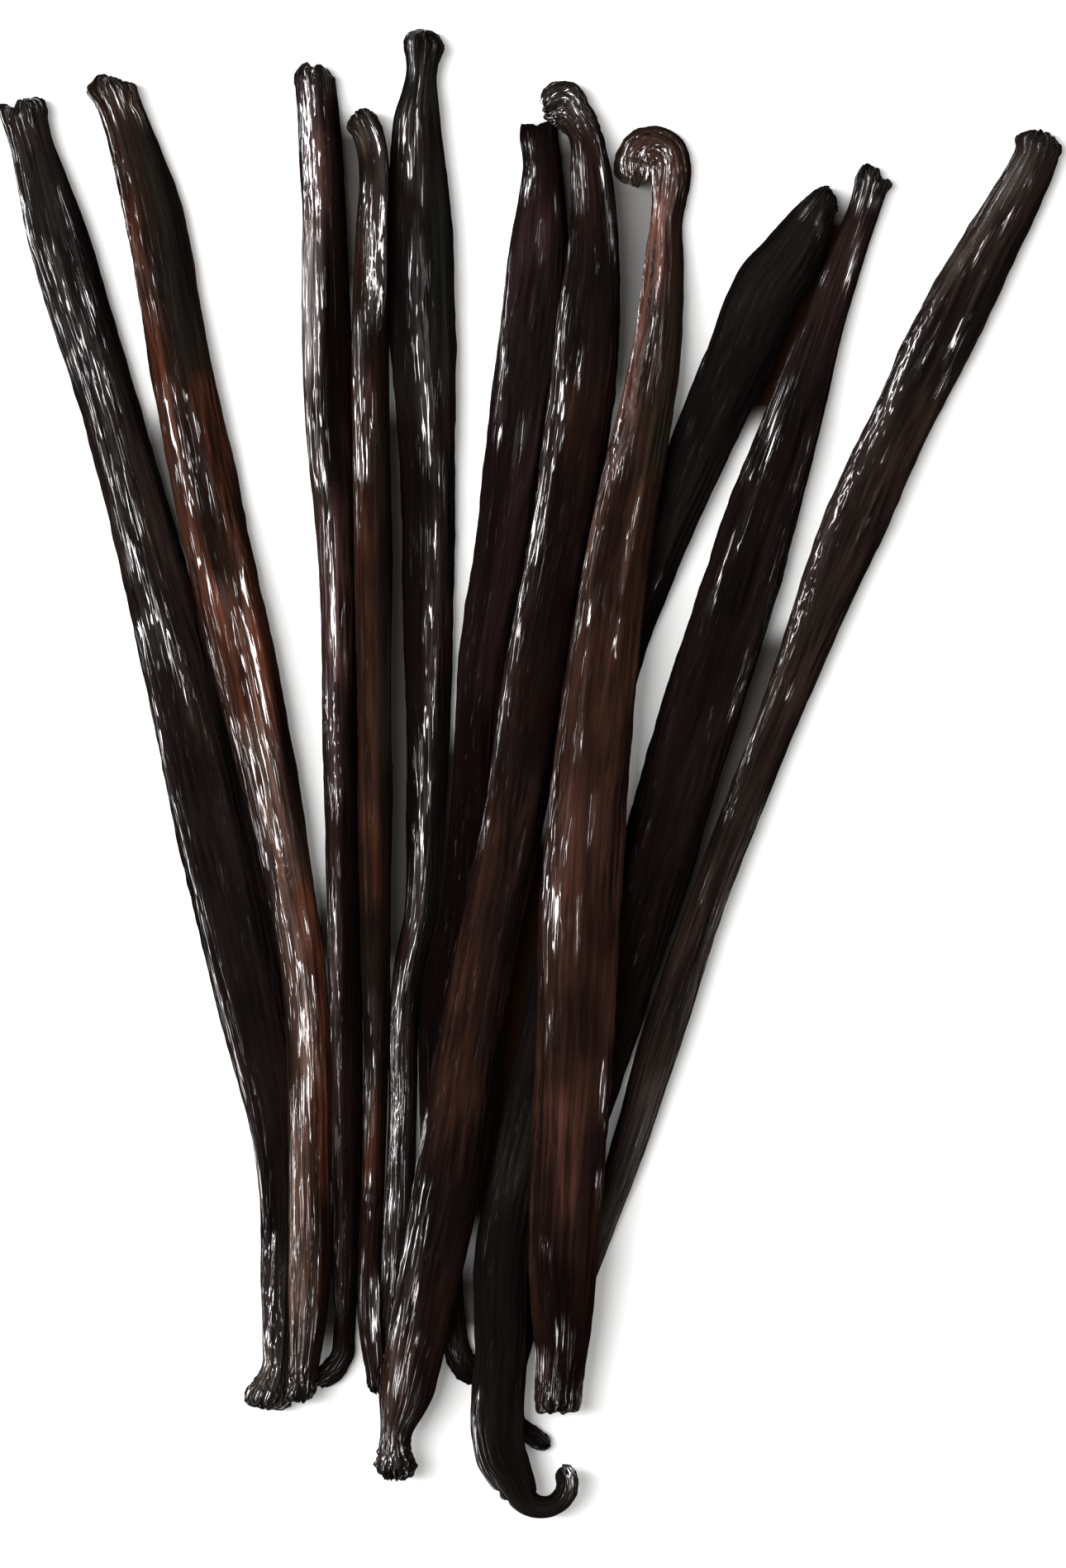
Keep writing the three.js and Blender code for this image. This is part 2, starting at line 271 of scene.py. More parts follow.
# %% [markdown]
# ## Bands, bumps and pulls
#
# What is special about each pod is written as short rows of numbers. A band runs along its upper side:
# from one Y to another, in mm, and from one place across the pod to another, where -1 is its left edge
# and 1 its right edge. Then come its width in mm and its amount. A bump raises or sinks one spot: X, Y,
# reach and height. A pull drags the skin round one place by a vector, which makes the forks, thorns and
# lobes that a ring can't.

# %% Bands
END_FADE = 5.0


def bands(skin, pod, kind):
    """The sum of one kind of lengthwise bands at every point of a pod's upper side."""
    total = np.zeros(skin["across"].shape)
    y = skin["row_y"][:, None]
    for top, bottom, start, end, width, amount in pod.get(kind, ()):
        middle = start + (end - start) * np.clip((top - y) / (top - bottom), 0, 1)
        off = (skin["across"] - middle) * skin["half_width"][:, None] / width
        fade = min(END_FADE, (top - bottom) / 2)
        reach = eased((top - y) / fade) * eased((y - bottom) / fade)
        total += amount * bell(off) * reach * skin["upper"]
    return total


def near(points, x, y, reach):
    """1 at a place seen from above, falling to 0 at about twice its reach."""
    return np.exp(-(((points[..., 0] - x) ** 2 + (points[..., 1] - y) ** 2) / reach**2))


print("a band fades out over", END_FADE, "mm at each end")

# %% [markdown]
# ## Folds and wrinkles on a pod
#
# Each point moves in or out along its own normal. A fold or a wrinkle is the distance of a wavy field
# from its zero line, turned over: that has a sharp back and round valleys, as shrunken skin has, where
# a plain wave would look like corduroy. Their strength drifts from place to place, `smooth` bands calm
# them, and a thin pod gets less of them. `lumpy` says how strongly, and how far in mm, each end is
# crumpled in all directions, the stem end first.

# %% Folds and wrinkles on a pod
FOLDS, FOLD_RISE = (7.0, 40.0), 0.20
WRINKLES, WRINKLE_RISE = (1.9, 13.0), 0.055
FINE, FINE_RISE = (0.75, 5.0), 0.016
BUCKLES, BUCKLE_RISE = (3.0, 2.6), 0.030
DRIFT, DRIFT_MIDDLE, DRIFT_SWING, DRIFT_LIMITS = (9.0, 12.0), 0.8, 0.5, (0.15, 1.8)
LUMPS, LUMP_RISE = (1.1, 0.6), 0.15
LUMPY = ((1.0, 3.4), (1.0, 3.4))
BACK_HEIGHT = 0.8
CALMEST = 0.12
FULL_HALF_WIDTH, FULL_LIMITS = 3.5, (0.25, 1.2)


def relief(skin, pod):
    """How far each point of a pod's skin rises, and how much of that is its wrinkles."""
    draw = np.random.default_rng(pod["seed"])
    sizes = (FOLDS, WRINKLES, FINE, BUCKLES, DRIFT, LUMPS)
    folds, creased, fine, buckle, drift, lumps = (wrinkles(draw, skin, *size) for size in sizes)
    full = np.clip(skin["half_width"] / FULL_HALF_WIDTH, *FULL_LIMITS)[:, None]
    calm = np.clip(1 - bands(skin, pod, "smooth"), CALMEST, 1)
    folds = FOLD_RISE * (BACK_HEIGHT - np.abs(folds))
    creased = WRINKLE_RISE * (BACK_HEIGHT - np.abs(creased))
    drift = np.clip(DRIFT_MIDDLE + DRIFT_SWING * drift, *DRIFT_LIMITS)
    ends = zip(skin["from_ends"], pod.get("lumpy", LUMPY))
    lumpy = sum(amount * bell(place / reach) for place, (amount, reach) in ends)
    depth = drift * calm * (creased + FINE_RISE * fine)
    rise = full * (folds + depth + BUCKLE_RISE * calm * buckle)
    return rise + LUMP_RISE * lumps * lumpy[:, None], depth


print("folds rise about", FOLD_RISE, "mm and wrinkles", WRINKLE_RISE, "mm")

# %% [markdown]
# ## Marks on a pod
#
# `crests` are single ridges, or grooves where the amount is below zero, and `swells` thicken the pod
# all round at a distance from its stem end. Where a pod gleams its skin is raised a little, most at its
# edges, because a side that slopes away too steeply doesn't mirror the light. The pulls come last and
# carry the wrinkles with them, and nothing may sink into the ground.

# %% Marks on a pod
GLEAM_RISE, EDGE_RISE = 0.26, 3.5
LEAST_HEIGHT = 0.02


def shaped(skin, pod):
    """A pod's skin with its wrinkles and marks, and how deep each point lies in a crease."""
    rise, depth = relief(skin, pod)
    rise += bands(skin, pod, "crests")
    for place, reach, height in pod.get("swells", ()):
        rise += height * bell((skin["places"][:, None] - place) / reach)
    points = skin["points"]
    for x, y, reach, height in pod.get("bumps", ()):
        rise += height * near(points, x, y, reach) * skin["upper"]
    rise[0], rise[-1] = rise[0].mean(), rise[-1].mean()
    points = points + skin["normal"] * rise[..., None]
    points[..., 2] += GLEAM_RISE * (1 + EDGE_RISE * skin["across"] ** 4) * bands(skin, pod, "gleam")
    for x, y, reach, pull in pod.get("pulls", ()):
        points = points + near(points, x, y, reach)[..., None] * np.array(pull)
    points[..., 2] = np.maximum(points[..., 2], LEAST_HEIGHT)
    return points, np.clip(-depth / WRINKLE_RISE, -1, 1)


print("a gleaming edge is raised up to", round(GLEAM_RISE * (1 + EDGE_RISE), 2), "mm")

# %% [markdown]
# ## One mesh for all pods
#
# All pods are tubes closed at both ends, so they share one mesh: a cone operator with equal radii makes
# a cylinder, and cutting its long edges gives the rings. Each pod copies it and moves the vertices to
# its own skin. Every vertex says by its place on the cylinder which row and column of the skin it
# takes.

# %% The unit tube
def unit_tube():
    """A closed tube of ALONG - 1 rings, and each vertex's row and column."""
    bm = bmesh.new()
    bmesh.ops.create_cone(
        bm, cap_ends=True, cap_tris=True, segments=AROUND, radius1=1, radius2=1, depth=1
    )
    long_edges = [e for e in bm.edges if abs(e.verts[0].co.z - e.verts[1].co.z) > HALF]
    bmesh.ops.subdivide_edges(bm, edges=long_edges, cuts=ALONG - 3, use_grid_fill=True)
    mesh = bpy.data.meshes.new("unit_tube")
    bm.to_mesh(mesh)
    bm.free()
    place = np.empty(len(mesh.vertices) * 3)
    mesh.vertices.foreach_get("co", place)
    x, y, z = place.reshape(-1, 3).T
    row = np.rint((HALF - z) * (ALONG - 2)).astype(int) + 1
    middle = np.hypot(x, y) < HALF
    row[middle] = np.where(z[middle] > 0, 0, ALONG)
    column = np.rint(np.arctan2(y, x) / (2 * math.pi) * AROUND).astype(int) % AROUND
    return mesh, row, column


tube, tube_row, tube_column = unit_tube()
print("unit tube:", len(tube.vertices), "vertices,", len(tube.polygons), "faces")

# %% [markdown]
# ## What a mesh tells its material
#
# Each vertex keeps a few numbers: where it lies on the unbent pod in mm, so that fibres and glints follow a
# curled pod as they do a straight one, and how far it is creased, gleaming, crackled, warm and green; how
# far it is pale, as dried skin and in places as a painted sheen; and how far it is darkened, in a few
# places as black skin and mostly as painted shade. They are point attributes, because colour attributes
# hold three numbers at most.
# A gleam of 1 is a film of oil, and up to 1.5 the oil lies so thick that its glints run together.
# `wet_ends` adds gleam at both ends.

# %% Attributes
MASKS = ("gleam", "crackle", "warm", "green", "dry", "black")
FULL_GLEAM = 1.5
END_REACH = 4.0


def attribute(mesh, name, values):
    """A number or a vector kept at each vertex."""
    kind, part = ("FLOAT_VECTOR", "vector") if values.ndim > 1 else ("FLOAT", "value")
    layer = mesh.attributes.new(name, kind, "POINT")
    layer.data.foreach_set(part, values.astype(np.float32).ravel())


def unbent(skin):
    """Where each point of a skin lies on the straight, round pod."""
    radius = skin["girth"] / (2 * math.pi)
    turn = np.arange(AROUND) * 2 * math.pi / AROUND
    place = np.empty(skin["points"].shape)
    place[..., 0], place[..., 1] = radius * np.cos(turn), radius * np.sin(turn)
    place[..., 2] = skin["places"][:, None]
    place[0, :, :2] = place[-1, :, :2] = 0
    return place


def masks(skin, pod):
    """All that a pod's bands tell its material, at each point."""
    at_end = bell(skin["from_ends"].min(0)[:, None] / END_REACH) * np.ones(AROUND)
    amounts = {mask: bands(skin, pod, mask) for mask in MASKS}
    amounts["gleam"] += pod["wet_ends"] * at_end
    for mask, amount in amounts.items():
        amounts[mask] = np.clip(amount, 0, FULL_GLEAM if mask == "gleam" else 1)
    return {**amounts, "end": at_end}


print("masks of each pod:", *MASKS)

# %% [markdown]
# ## Making a piece
#
# A piece is a copy of the tube, moved to its skin in metres. Recalculating the normals makes all faces
# point outwards, and a volume below zero would say that they still point inwards. The CAD pod it stands for
# is hidden, and the piece rides on the root body.

# %% Making a piece
def make_pod(name, pod):
    """The finished piece of one pod."""
    points, crease = shaped(skins[name], pod)
    mesh = tube.copy()
    mesh.name = name + "_skin"
    mesh.vertices.foreach_set("co", (points[tube_row, tube_column] * MM).ravel())
    kept = {"unbent": unbent(skins[name]), "crease": crease, **masks(skins[name], pod)}
    for key, values in kept.items():
        attribute(mesh, key, values[tube_row, tube_column])
    bm = bmesh.new()
    bm.from_mesh(mesh)
    bmesh.ops.recalc_face_normals(bm, faces=bm.faces)
    if bm.calc_volume(signed=True) < 0:
        bmesh.ops.reverse_faces(bm, faces=bm.faces)
    print(name, "holds", round(bm.calc_volume() / MM**3 / 1000, 2), "ml")
    bm.to_mesh(mesh)
    bm.free()
    mesh.polygons.foreach_set("use_smooth", np.ones(len(mesh.polygons), bool))
    piece = in_scene(name + "_pod", mesh)
    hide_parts(name)
    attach(piece, "root")
    return piece


# %% [markdown]
# ## Nodes and colours
#
# A material is a tree of nodes. One function adds any node, fills its inputs with values or links and
# gives back an output. Sockets that share a name are given by number: a Mix node has its share at 0,
# two numbers at 2 and 3 and two colours at 6 and 7. A Map Range node has its value at 0, the range it
# reads at 1 and 2 and the range that becomes at 3 and 4, which is 0 to 1 where left out. Colours are
# written as the hex values of a screen, which a shader needs as linear numbers.

# %% Nodes and colours
def blank(name):
    """A new material and its empty node tree."""
    material = bpy.data.materials.new(name)
    material.use_nodes = True
    material.node_tree.nodes.clear()
    return material, material.node_tree


def add(tree, kind, inputs, output=None, **settings):
    """A new shader node, with its inputs and settings, and the output to go on from."""
    node = tree.nodes.new("ShaderNode" + kind)
    for key, value in settings.items():
        setattr(node, key, value)
    for key, value in inputs.items():
        if isinstance(value, bpy.types.NodeSocket):
            tree.links.new(value, node.inputs[key])
        else:
            node.inputs[key].default_value = value
    return node.outputs[output] if output else next(iter(s for s in node.outputs if s.enabled), None)


def linear(hex_colour):
    """An sRGB hex value as linear red, green, blue and alpha."""
    parts = [int(hex_colour[i : i + 2], 16) / 255 for i in (0, 2, 4)]
    return [p / 12.92 if p <= 0.04045 else ((p + 0.055) / 1.055) ** 2.4 for p in parts] + [1]


print("screen grey 808080 is linear", round(linear("808080")[0], 3))

# %% [markdown]
# ## Streaks and lines
#
# Everything on a pod runs along it, so its patterns are noise drawn out lengthwise, given by how many
# mm wide and long the marks are and how much finer detail they have. Where such a noise crosses its
# middle value it leaves thin wandering lines. A Voronoi texture would make them too straight.

# %% Streaks and lines
NOISE_MIDDLE = 0.5


def streaks(tree, place, wide, long, detail):
    """Noise drawn out along the pod, in marks about `wide` mm across and `long` mm long."""
    size = (1 / wide, 1 / wide, 1 / long)
    drawn_out = add(tree, "Mapping", {"Vector": place, "Scale": size}, vector_type="POINT")
    return add(tree, "TexNoise", {"Vector": drawn_out, "Scale": 1.0, "Detail": detail})


def lines(tree, noise, sharp):
    """1 where a noise crosses its middle value, falling to 0 at `sharp` from it."""
    off = add(tree, "Math", {0: noise, 1: NOISE_MIDDLE}, operation="SUBTRACT")
    off = add(tree, "Math", {0: off}, operation="ABSOLUTE")
    fall = {0: off, 1: 0.0, 2: sharp, 3: 1.0, 4: 0.0}
    return add(tree, "MapRange", fall, interpolation_type="SMOOTHSTEP")


# %% [markdown]
# ## Colours of cured skin
#
# A green pod is scalded, sweated and dried in the sun for weeks, until its skin is a thin leather, tanned
# by its own sap: a nearly black brown in lengthwise fibres, warmer or greener where the cure was uneven.
# The colours go on in this order: two browns in patches, the uneven cure, dried skin with a painted sheen
# in places, a faint painted sheen where much oil lies, the ends, stretches darkened mostly by painted shade
# where they lie in shadow and in a few places by black skin, and last the shade between fibres and in
# creases.

# %% Colours of cured skin
FIBRES = (0.45, 14.0, 3.0)
PATCHES = (3.0, 22.0, 2.0)
BROWN_PATCHES = {1: 0.4, 2: 0.62}
UNEVEN_CURE = {1: 0.8, 2: 1.15, 3: 0.3, 4: 1.0}
PAINTED_SHEEN_IN_GLEAM = {1: 0.1, 2: 1.3, 3: 0.0, 4: 0.22}
FIBRE_SHADE = {1: 0.35, 2: 0.62, 3: 0.55, 4: 0.0}
CREASE_SHADE = {1: 0.0, 2: 1.0, 3: 0.0, 4: 0.55}
# Of these tints, 4A3F3B is a painted sheen, 5A5450 is dried skin and in places painted sheen, and 070302 is
# mostly painted shade and in a few places black skin.
TINTS = {
    "green": "121310", "dry": "5A5450", "painted_sheen": "4A3F3B", "end": "12100E", "black": "070302",
    "shade": "060404",
}


def skin_colour(tree, place, mask, tint):
    """The darkest brown, with every other tint laid over it in turn."""
    fibres = streaks(tree, place, *FIBRES)
    patches = streaks(tree, place, *PATCHES)
    laid = [("brown", add(tree, "MapRange", {0: patches, **BROWN_PATCHES}))]
    uneven = add(tree, "Math", {0: fibres, 1: patches}, operation="ADD")
    uneven = add(tree, "MapRange", {0: uneven, **UNEVEN_CURE})
    # The pale grey tint is dried skin, and in places a painted sheen where the skin would mirror light.
    amounts = {key: mask[key] for key in ("warm", "green", "dry")}
    # A painted sheen: where much oil lies, a broad soft highlight is painted into the colour.
    amounts["painted_sheen"] = add(tree, "MapRange", {0: mask["gleam"], **PAINTED_SHEEN_IN_GLEAM})
    for key, amount in amounts.items():
        laid.append((key, add(tree, "Math", {0: amount, 1: uneven}, operation="MULTIPLY")))
    # The near black tint is painted shade on stretches shaded by neighbours and on the pods' far sides, and
    # in a few places the skin's own black.
    laid += [(key, mask[key]) for key in ("end", "black")]
    for amount, depth in ((fibres, FIBRE_SHADE), (mask["crease"], CREASE_SHADE)):
        laid.append(("shade", add(tree, "MapRange", {0: amount, **depth})))
    colour = tint["dark"]
    for key, share in laid:
        colour = add(tree, "Mix", {0: share, 6: colour, 7: tint[key]}, data_type="RGBA")
    return colour


print("fibres are", FIBRES[0], "mm wide and brown patches", PATCHES[0], "mm")

# %% [markdown]
# ## Oil on cured skin
#
# A pod stays oily, because the oil of the seeds comes through. It gathers on very fine raised lines
# along the pod and glints there as broken white dashes. Real lines about a tenth of a millimetre wide
# wouldn't show, so they are drawn at 0.3 mm. A line and the gleam of its place add up, and only above a
# threshold is there oil, so a little gleam gives thin short dashes and much gleam wide ones. Crackled
# skin has short lines instead of long ones.

# %% Oil on cured skin
LONG_LINES, LINE_SHARP = (0.3, 9.0, 1.5), 0.085
CRACKLE, CRACKLE_SHARP = (0.42, 2.4, 1.5), 0.1
BREAKS, BREAK_SHARE = (0.38, 6.0, 1.0), {1: 0.40, 2: 0.52}
GLEAM_HELP = 0.45
OIL_GATHERS = {1: 0.74, 2: 1.05, 3: 0.01, 4: 1.0}
OIL_FILM = {1: 0.03, 2: 0.5, 3: 0.015, 4: 1.0}


def skin_ridges(tree, place, mask):
    """The height of the fine raised lines, from 0 to 1."""
    long_lines = lines(tree, streaks(tree, place, *LONG_LINES), LINE_SHARP)
    crackle = lines(tree, streaks(tree, place, *CRACKLE), CRACKLE_SHARP)
    mixed = {0: mask["crackle"], 2: long_lines, 3: crackle}
    return add(tree, "Mix", mixed, data_type="FLOAT")


def skin_oil(tree, place, mask, ridges):
    """How much of each point is covered with oil, from 0 to 1."""
    broken = add(tree, "MapRange", {0: streaks(tree, place, *BREAKS), **BREAK_SHARE})
    glint = add(tree, "Math", {0: ridges, 1: broken}, operation="MULTIPLY")
    gleam = {0: mask["gleam"], 1: GLEAM_HELP, 2: glint}
    glint = add(tree, "Math", gleam, operation="MULTIPLY_ADD")
    glint = add(tree, "MapRange", {0: glint, **OIL_GATHERS})
    film = add(tree, "MapRange", {0: mask["gleam"], **OIL_FILM})
    return add(tree, "Math", {0: film, 1: glint}, operation="MULTIPLY")


print("lines are", LONG_LINES[0], "mm wide and", LONG_LINES[1], "mm long")

# %% [markdown]
# ## Cured pod skin
#
# The oil is the shader's coat, nearly smooth and with an IOR above a kitchen oil's 1.47, because the
# film has thickened like resin. The leather under it is rough and mirrors nothing of its own. Both
# layers take the same bump, since the oil follows each line.

# %% Cured pod skin
LINE_HEIGHT = 0.04 * MM
OIL = {"Coat Roughness": 0.05, "Coat IOR": 1.6}
LEATHER = {"Roughness": 0.6, "IOR": 1.45, "Specular IOR Level": 0.0}


def cured_skin(name, colours):
    """Oiled leather with its own browns and any tints that differ from the common ones."""
    tint = {key: linear(value) for key, value in {**TINTS, **colours}.items()}
    material, tree = blank("cured_pod_" + name)
    place = add(tree, "Attribute", {}, "Vector", attribute_name="unbent")
    keys = (*MASKS, "crease", "end")
    mask = {key: add(tree, "Attribute", {}, "Fac", attribute_name=key) for key in keys}
    colour = skin_colour(tree, place, mask, tint)
    ridges = skin_ridges(tree, place, mask)
    oil = skin_oil(tree, place, mask, ridges)
    bump = add(tree, "Bump", {"Height": ridges, "Strength": 1.0, "Distance": LINE_HEIGHT})
    layers = {"Base Color": colour, "Coat Weight": oil, "Normal": bump, "Coat Normal": bump}
    shader = add(tree, "BsdfPrincipled", {**layers, **LEATHER, **OIL})
    add(tree, "OutputMaterial", {"Surface": shader})
    return material


# %% [markdown]
# ## The eleven pods
#
# The pods come from left to right by their stem ends. Each one is given by its slot and seed, how wet its
# ends are, its colours, and the rows of its bands, bumps and pulls. Where a pod has its own sheen colour,
# that is a painted sheen; its dried colour is dried skin and in places painted sheen; its near black bands
# are mostly painted shade on stretches in shadow.

# %% From rows to a finished pod
def finish_pod(name, **pod):
    """Makes one pod and gives it its skin."""
    piece = make_pod(name, pod)
    piece.data.materials.clear()
    piece.data.materials.append(cured_skin(pod["slot"], pod["colours"]))
    print(name, "has", len(piece.data.polygons), "faces and", len(pod["gleam"]), "gleaming bands")


print("pods to finish:", len(skins))

# %% [markdown]
# ## The far left pod
#
# Near black, straight and evenly plump. Its knobbed stem end has a dent with a lip, made by a sunk bump
# and pulls in three directions, because a ring of the tube can only be round. The foot flares to the
# left. The long white line down the left edge gets a crest to sit on, since the rounded edge itself
# tilts away from the light.

# %% The far left pod
finish_pod(
    "pod_far_left", slot="black_skin_left", seed=11, wet_ends=1,
    colours=dict(dark="0E0B0A", brown="1B1411", warm="221711", dry="4A4038"),
    lumpy=((1, 3.4), (1.5, 5)),
    gleam=[
        (84, 46, -0.82, -0.8, 0.8, 1.3), (81, 74, -0.6, -0.55, 1, 0.8), (73, 46, 0.6, 0.28, 0.5, 0.8),
        (66, 40, -0.25, 0, 1.3, 0.65), (50, 33, -0.65, -0.6, 0.6, 0.8), (46, 26, -0.15, -0.05, 0.8, 0.62),
        (36, 12, -0.65, -0.35, 0.9, 0.7), (22, 2, -0.1, 0.2, 0.6, 0.6), (28, 8, 0.15, 0.3, 0.5, 0.4),
        (22, -14, -0.84, -0.82, 0.5, 0.9), (-12, -56, -0.78, -0.74, 0.6, 1.4),
        (-54, -62, -0.7, -0.5, 1.2, 0.9), (-60, -76, -0.8, -0.6, 1.6, 0.9),
    ],
    warm=[(35, 0, 0.3, 0.2, 1.6, 0.4), (-25, -56, -0.9, -0.8, 1.1, 1)],
    green=[(78, 62, 0.1, 0.2, 3, 0.6)],
    dry=[(-58, -64, -0.4, -0.4, 1.6, 0.2), (-67, -78, -0.6, -0.5, 2, 0.7)],
    black=[(26, -60, -0.1, 0.1, 3.6, 0.52), (70, 36, 0.85, 0.9, 1.4, 0.49)],
    crests=[(86, 62, -0.85, -0.8, 0.5, 0.55), (18, -54, -0.82, -0.78, 0.4, 0.35)],
    smooth=[(76, 64, 0.1, 0.1, 3, 0.8)],
    crackle=[(-52, -76, -0.6, -0.6, 3, 1)],
    bumps=[(-62.9, 80.6, 0.6, -0.5), (-34.3, -55.5, 0.9, 0.35), (-34.5, -10.4, 0.3, 0.15)],
    pulls=[
        (-62.9, 81.7, 0.6, (0.1, -0.9, -0.2)), (-64.4, 80.6, 0.7, (-0.35, 0.5, 0.2)),
        (-60, 81.6, 1.2, (0.2, 0.35, 0.2)), (-34.2, -75.2, 1.5, (-0.35, -0.85, 0)),
    ],
)

# %% [markdown]
# ## The left brown pod
#
# It cured unevenly, so red brown stretches lie beside olive ones, and its lower half has long streaks of
# oil over dried skin with a pinkish painted sheen. A scar in the middle is two bumps with a hollow between
# them, dry and crackled. Pulls lean the stem end over to the left.

# %% The left brown pod
finish_pod(
    "pod_left_brown", slot="brown_skin_left", seed=12, wet_ends=0.7,
    colours=dict(dark="110B08", brown="22150F", warm="482619", dry="5A473E", painted_sheen="5E3A2C"),
    lumpy=((1, 3.4), (1.4, 4)),
    gleam=[
        (88, 54, -0.8, -0.78, 0.65, 1.5), (84, 79, -0.1, 0, 0.4, 0.6), (84.5, 76, 0.6, 0.62, 0.5, 0.9),
        (66, 52, -0.5, -0.5, 0.6, 0.7), (50, 30, -0.7, -0.42, 1, 0.9), (34, 16, -0.65, -0.65, 0.7, 0.5),
        (20, -2, -0.85, -0.75, 0.7, 0.75), (48, 28, 0.1, 0.3, 0.7, 0.5), (26, -2, 0, 0.3, 1.2, 0.8),
        (34, -6, 0.7, 0.25, 0.45, 0.8), (2, -14, -0.75, -0.8, 0.6, 0.8), (4, -10, -0.2, -0.1, 1.4, 1.1),
        (-12, -36, -0.6, -0.1, 1.2, 0.9), (-6, -16.5, -0.05, -0.05, 1.1, 1.5), (-26, -58, 0.1, 0, 1.1, 0.8),
        (-14, -40, 0.5, 0.55, 0.5, 0.8), (8, -12, -0.2, 0.1, 1.6, 0.6), (-36, -64, -0.75, -0.55, 1.2, 1.4),
        (-56, -76, -0.65, -0.5, 1.3, 1.5), (-56, -72, 0.5, 0.45, 0.5, 0.9), (-50, -66, 0.5, 0.5, 0.4, 0.6),
    ],
    warm=[
        (72, 58, -0.75, -0.7, 0.9, 0.7), (60, 42, -0.7, -0.55, 1.1, 1), (50, 30, 0.6, 0.6, 1.4, 0.6),
        (46, 17, -0.6, -0.6, 1, 0.8), (32, 2, 0.7, 0.45, 1.1, 0.9), (26, 2, -0.45, -0.1, 1.8, 0.8),
        (-8, -26, 0.35, 0.5, 1, 0.5), (-12, -54, 0.5, 0.6, 1.2, 0.9),
    ],
    green=[(82, 46, 0.5, 0.4, 2.4, 0.8)],
    dry=[
        (8, -16, -0.1, 0.1, 1.6, 0.6), (-7, -15, 0.05, 0.1, 1, 1), (-12, -40, -0.3, 0.2, 1.1, 0.7),
        (-40, -70, -0.65, -0.5, 1.2, 0.75), (-66, -76, -0.4, -0.2, 1.6, 0.4),
    ],
    black=[(14, -16, 0.85, 0.8, 0.9, 0.42), (-40, -70, 0.8, 0.8, 1.3, 0.42), (-64, -80, 0, 0, 4, 0.49)],
    crests=[(88, 50, -0.78, -0.76, 0.35, 0.45), (-38, -74, -0.68, -0.55, 0.45, 0.35)],
    smooth=[(82, 46, 0.4, 0.3, 2.4, 0.8), (-31, -40, -0.65, -0.65, 1.4, 0.9)],
    crackle=[(82, 57, -0.9, -0.9, 1, 0.7), (-8, -76, -0.3, -0.3, 4, 0.3), (-6, -16, 0, 0, 1.2, 0.7)],
    bumps=[(-29.9, -9.8, 0.8, 0.75), (-29.7, -12.2, 0.7, 0.85), (-30.3, -11, 0.5, -0.5)],
    pulls=[
        (-53, 82.6, 1.3, (-0.8, 0.25, 0)), (-52.2, 84.2, 1, (-0.5, 0.35, 0)),
        (-49.3, 84.7, 1, (0.1, -0.9, 0)), (-48.2, 81, 0.7, (-0.3, -0.1, 0)),
        (-29.3, -75.2, 0.8, (-0.3, -0.5, 0)),
    ],
)

# %% [markdown]
# ## The pod on edge
#
# This one turns from lying flat to standing on its edge. A rim runs down its left side, pale with a painted
# sheen in one place, with a hollow and a sharp back beside it: crests of opposite signs. Its right side and
# parts of its middle are darkened with painted shade. Its small foot hooks to the left.

# %% The pod on edge
finish_pod(
    "pod_on_edge", slot="scuffed_skin", seed=13, wet_ends=0.5,
    colours=dict(dark="0A0605", brown="1A100E", warm="3A2622", painted_sheen="5E4A47", dry="857D7A"),
    gleam=[
        (88, 52, -0.6, -0.5, 1.7, 1.4), (66, 33, -0.72, -0.68, 1, 1.5), (35, 11, -0.55, -0.35, 1.1, 0.4),
        (32, 10, -0.1, 0, 0.7, 1.15), (14, -8, -0.6, -0.45, 1.1, 1), (-6, -22, -0.75, -0.65, 1, 0.4),
        (-14, -38, -0.85, -0.75, 0.8, 1.3), (-30, -62, -0.8, -0.75, 0.7, 1.5),
        (-56, -68, -0.5, -0.5, 1, 0.7),
    ],
    warm=[
        (80, 66, -0.1, -0.1, 1.2, 1), (71, 62, -0.5, -0.5, 1.2, 1), (36, 9, -0.4, -0.2, 2, 0.8),
        (2, -60, -0.7, -0.7, 1.2, 0.5),
    ],
    dry=[(68, 46, -0.72, -0.66, 0.9, 1)],
    black=[
        (84, 40, 0.85, 0.7, 1.5, 0.7), (62, 34, 0.2, 0.1, 1.2, 0.8), (34, -70, 0.85, 0.7, 1.2, 0.42),
        (0, -60, 0.1, 0.1, 1.6, 0.42),
    ],
    crests=[
        (84, 38, -0.62, -0.55, 1.5, -0.35), (84, 50, -0.02, -0.05, 0.5, 0.35),
        (-26, -66, -0.72, -0.66, 0.45, 0.6),
    ],
    crackle=[(85, 62, -0.5, -0.5, 3, 0.6), (14, -10, -0.3, -0.3, 3, 0.6)],
    bumps=[(-26.6, 85, 0.45, -0.6), (-26.6, 84, 0.4, -0.5)],
    pulls=[
        (-27.6, 86, 0.8, (-0.1, 0.45, 0.1)), (-26.6, 86.3, 0.35, (0, -0.7, 0)),
        (-24, 85.6, 1, (-0.2, -0.5, 0)), (-22.6, -70, 1.2, (0.25, 0.1, 0)),
        (-26, -73.6, 1.2, (-0.3, 0.2, 0)),
    ],
)
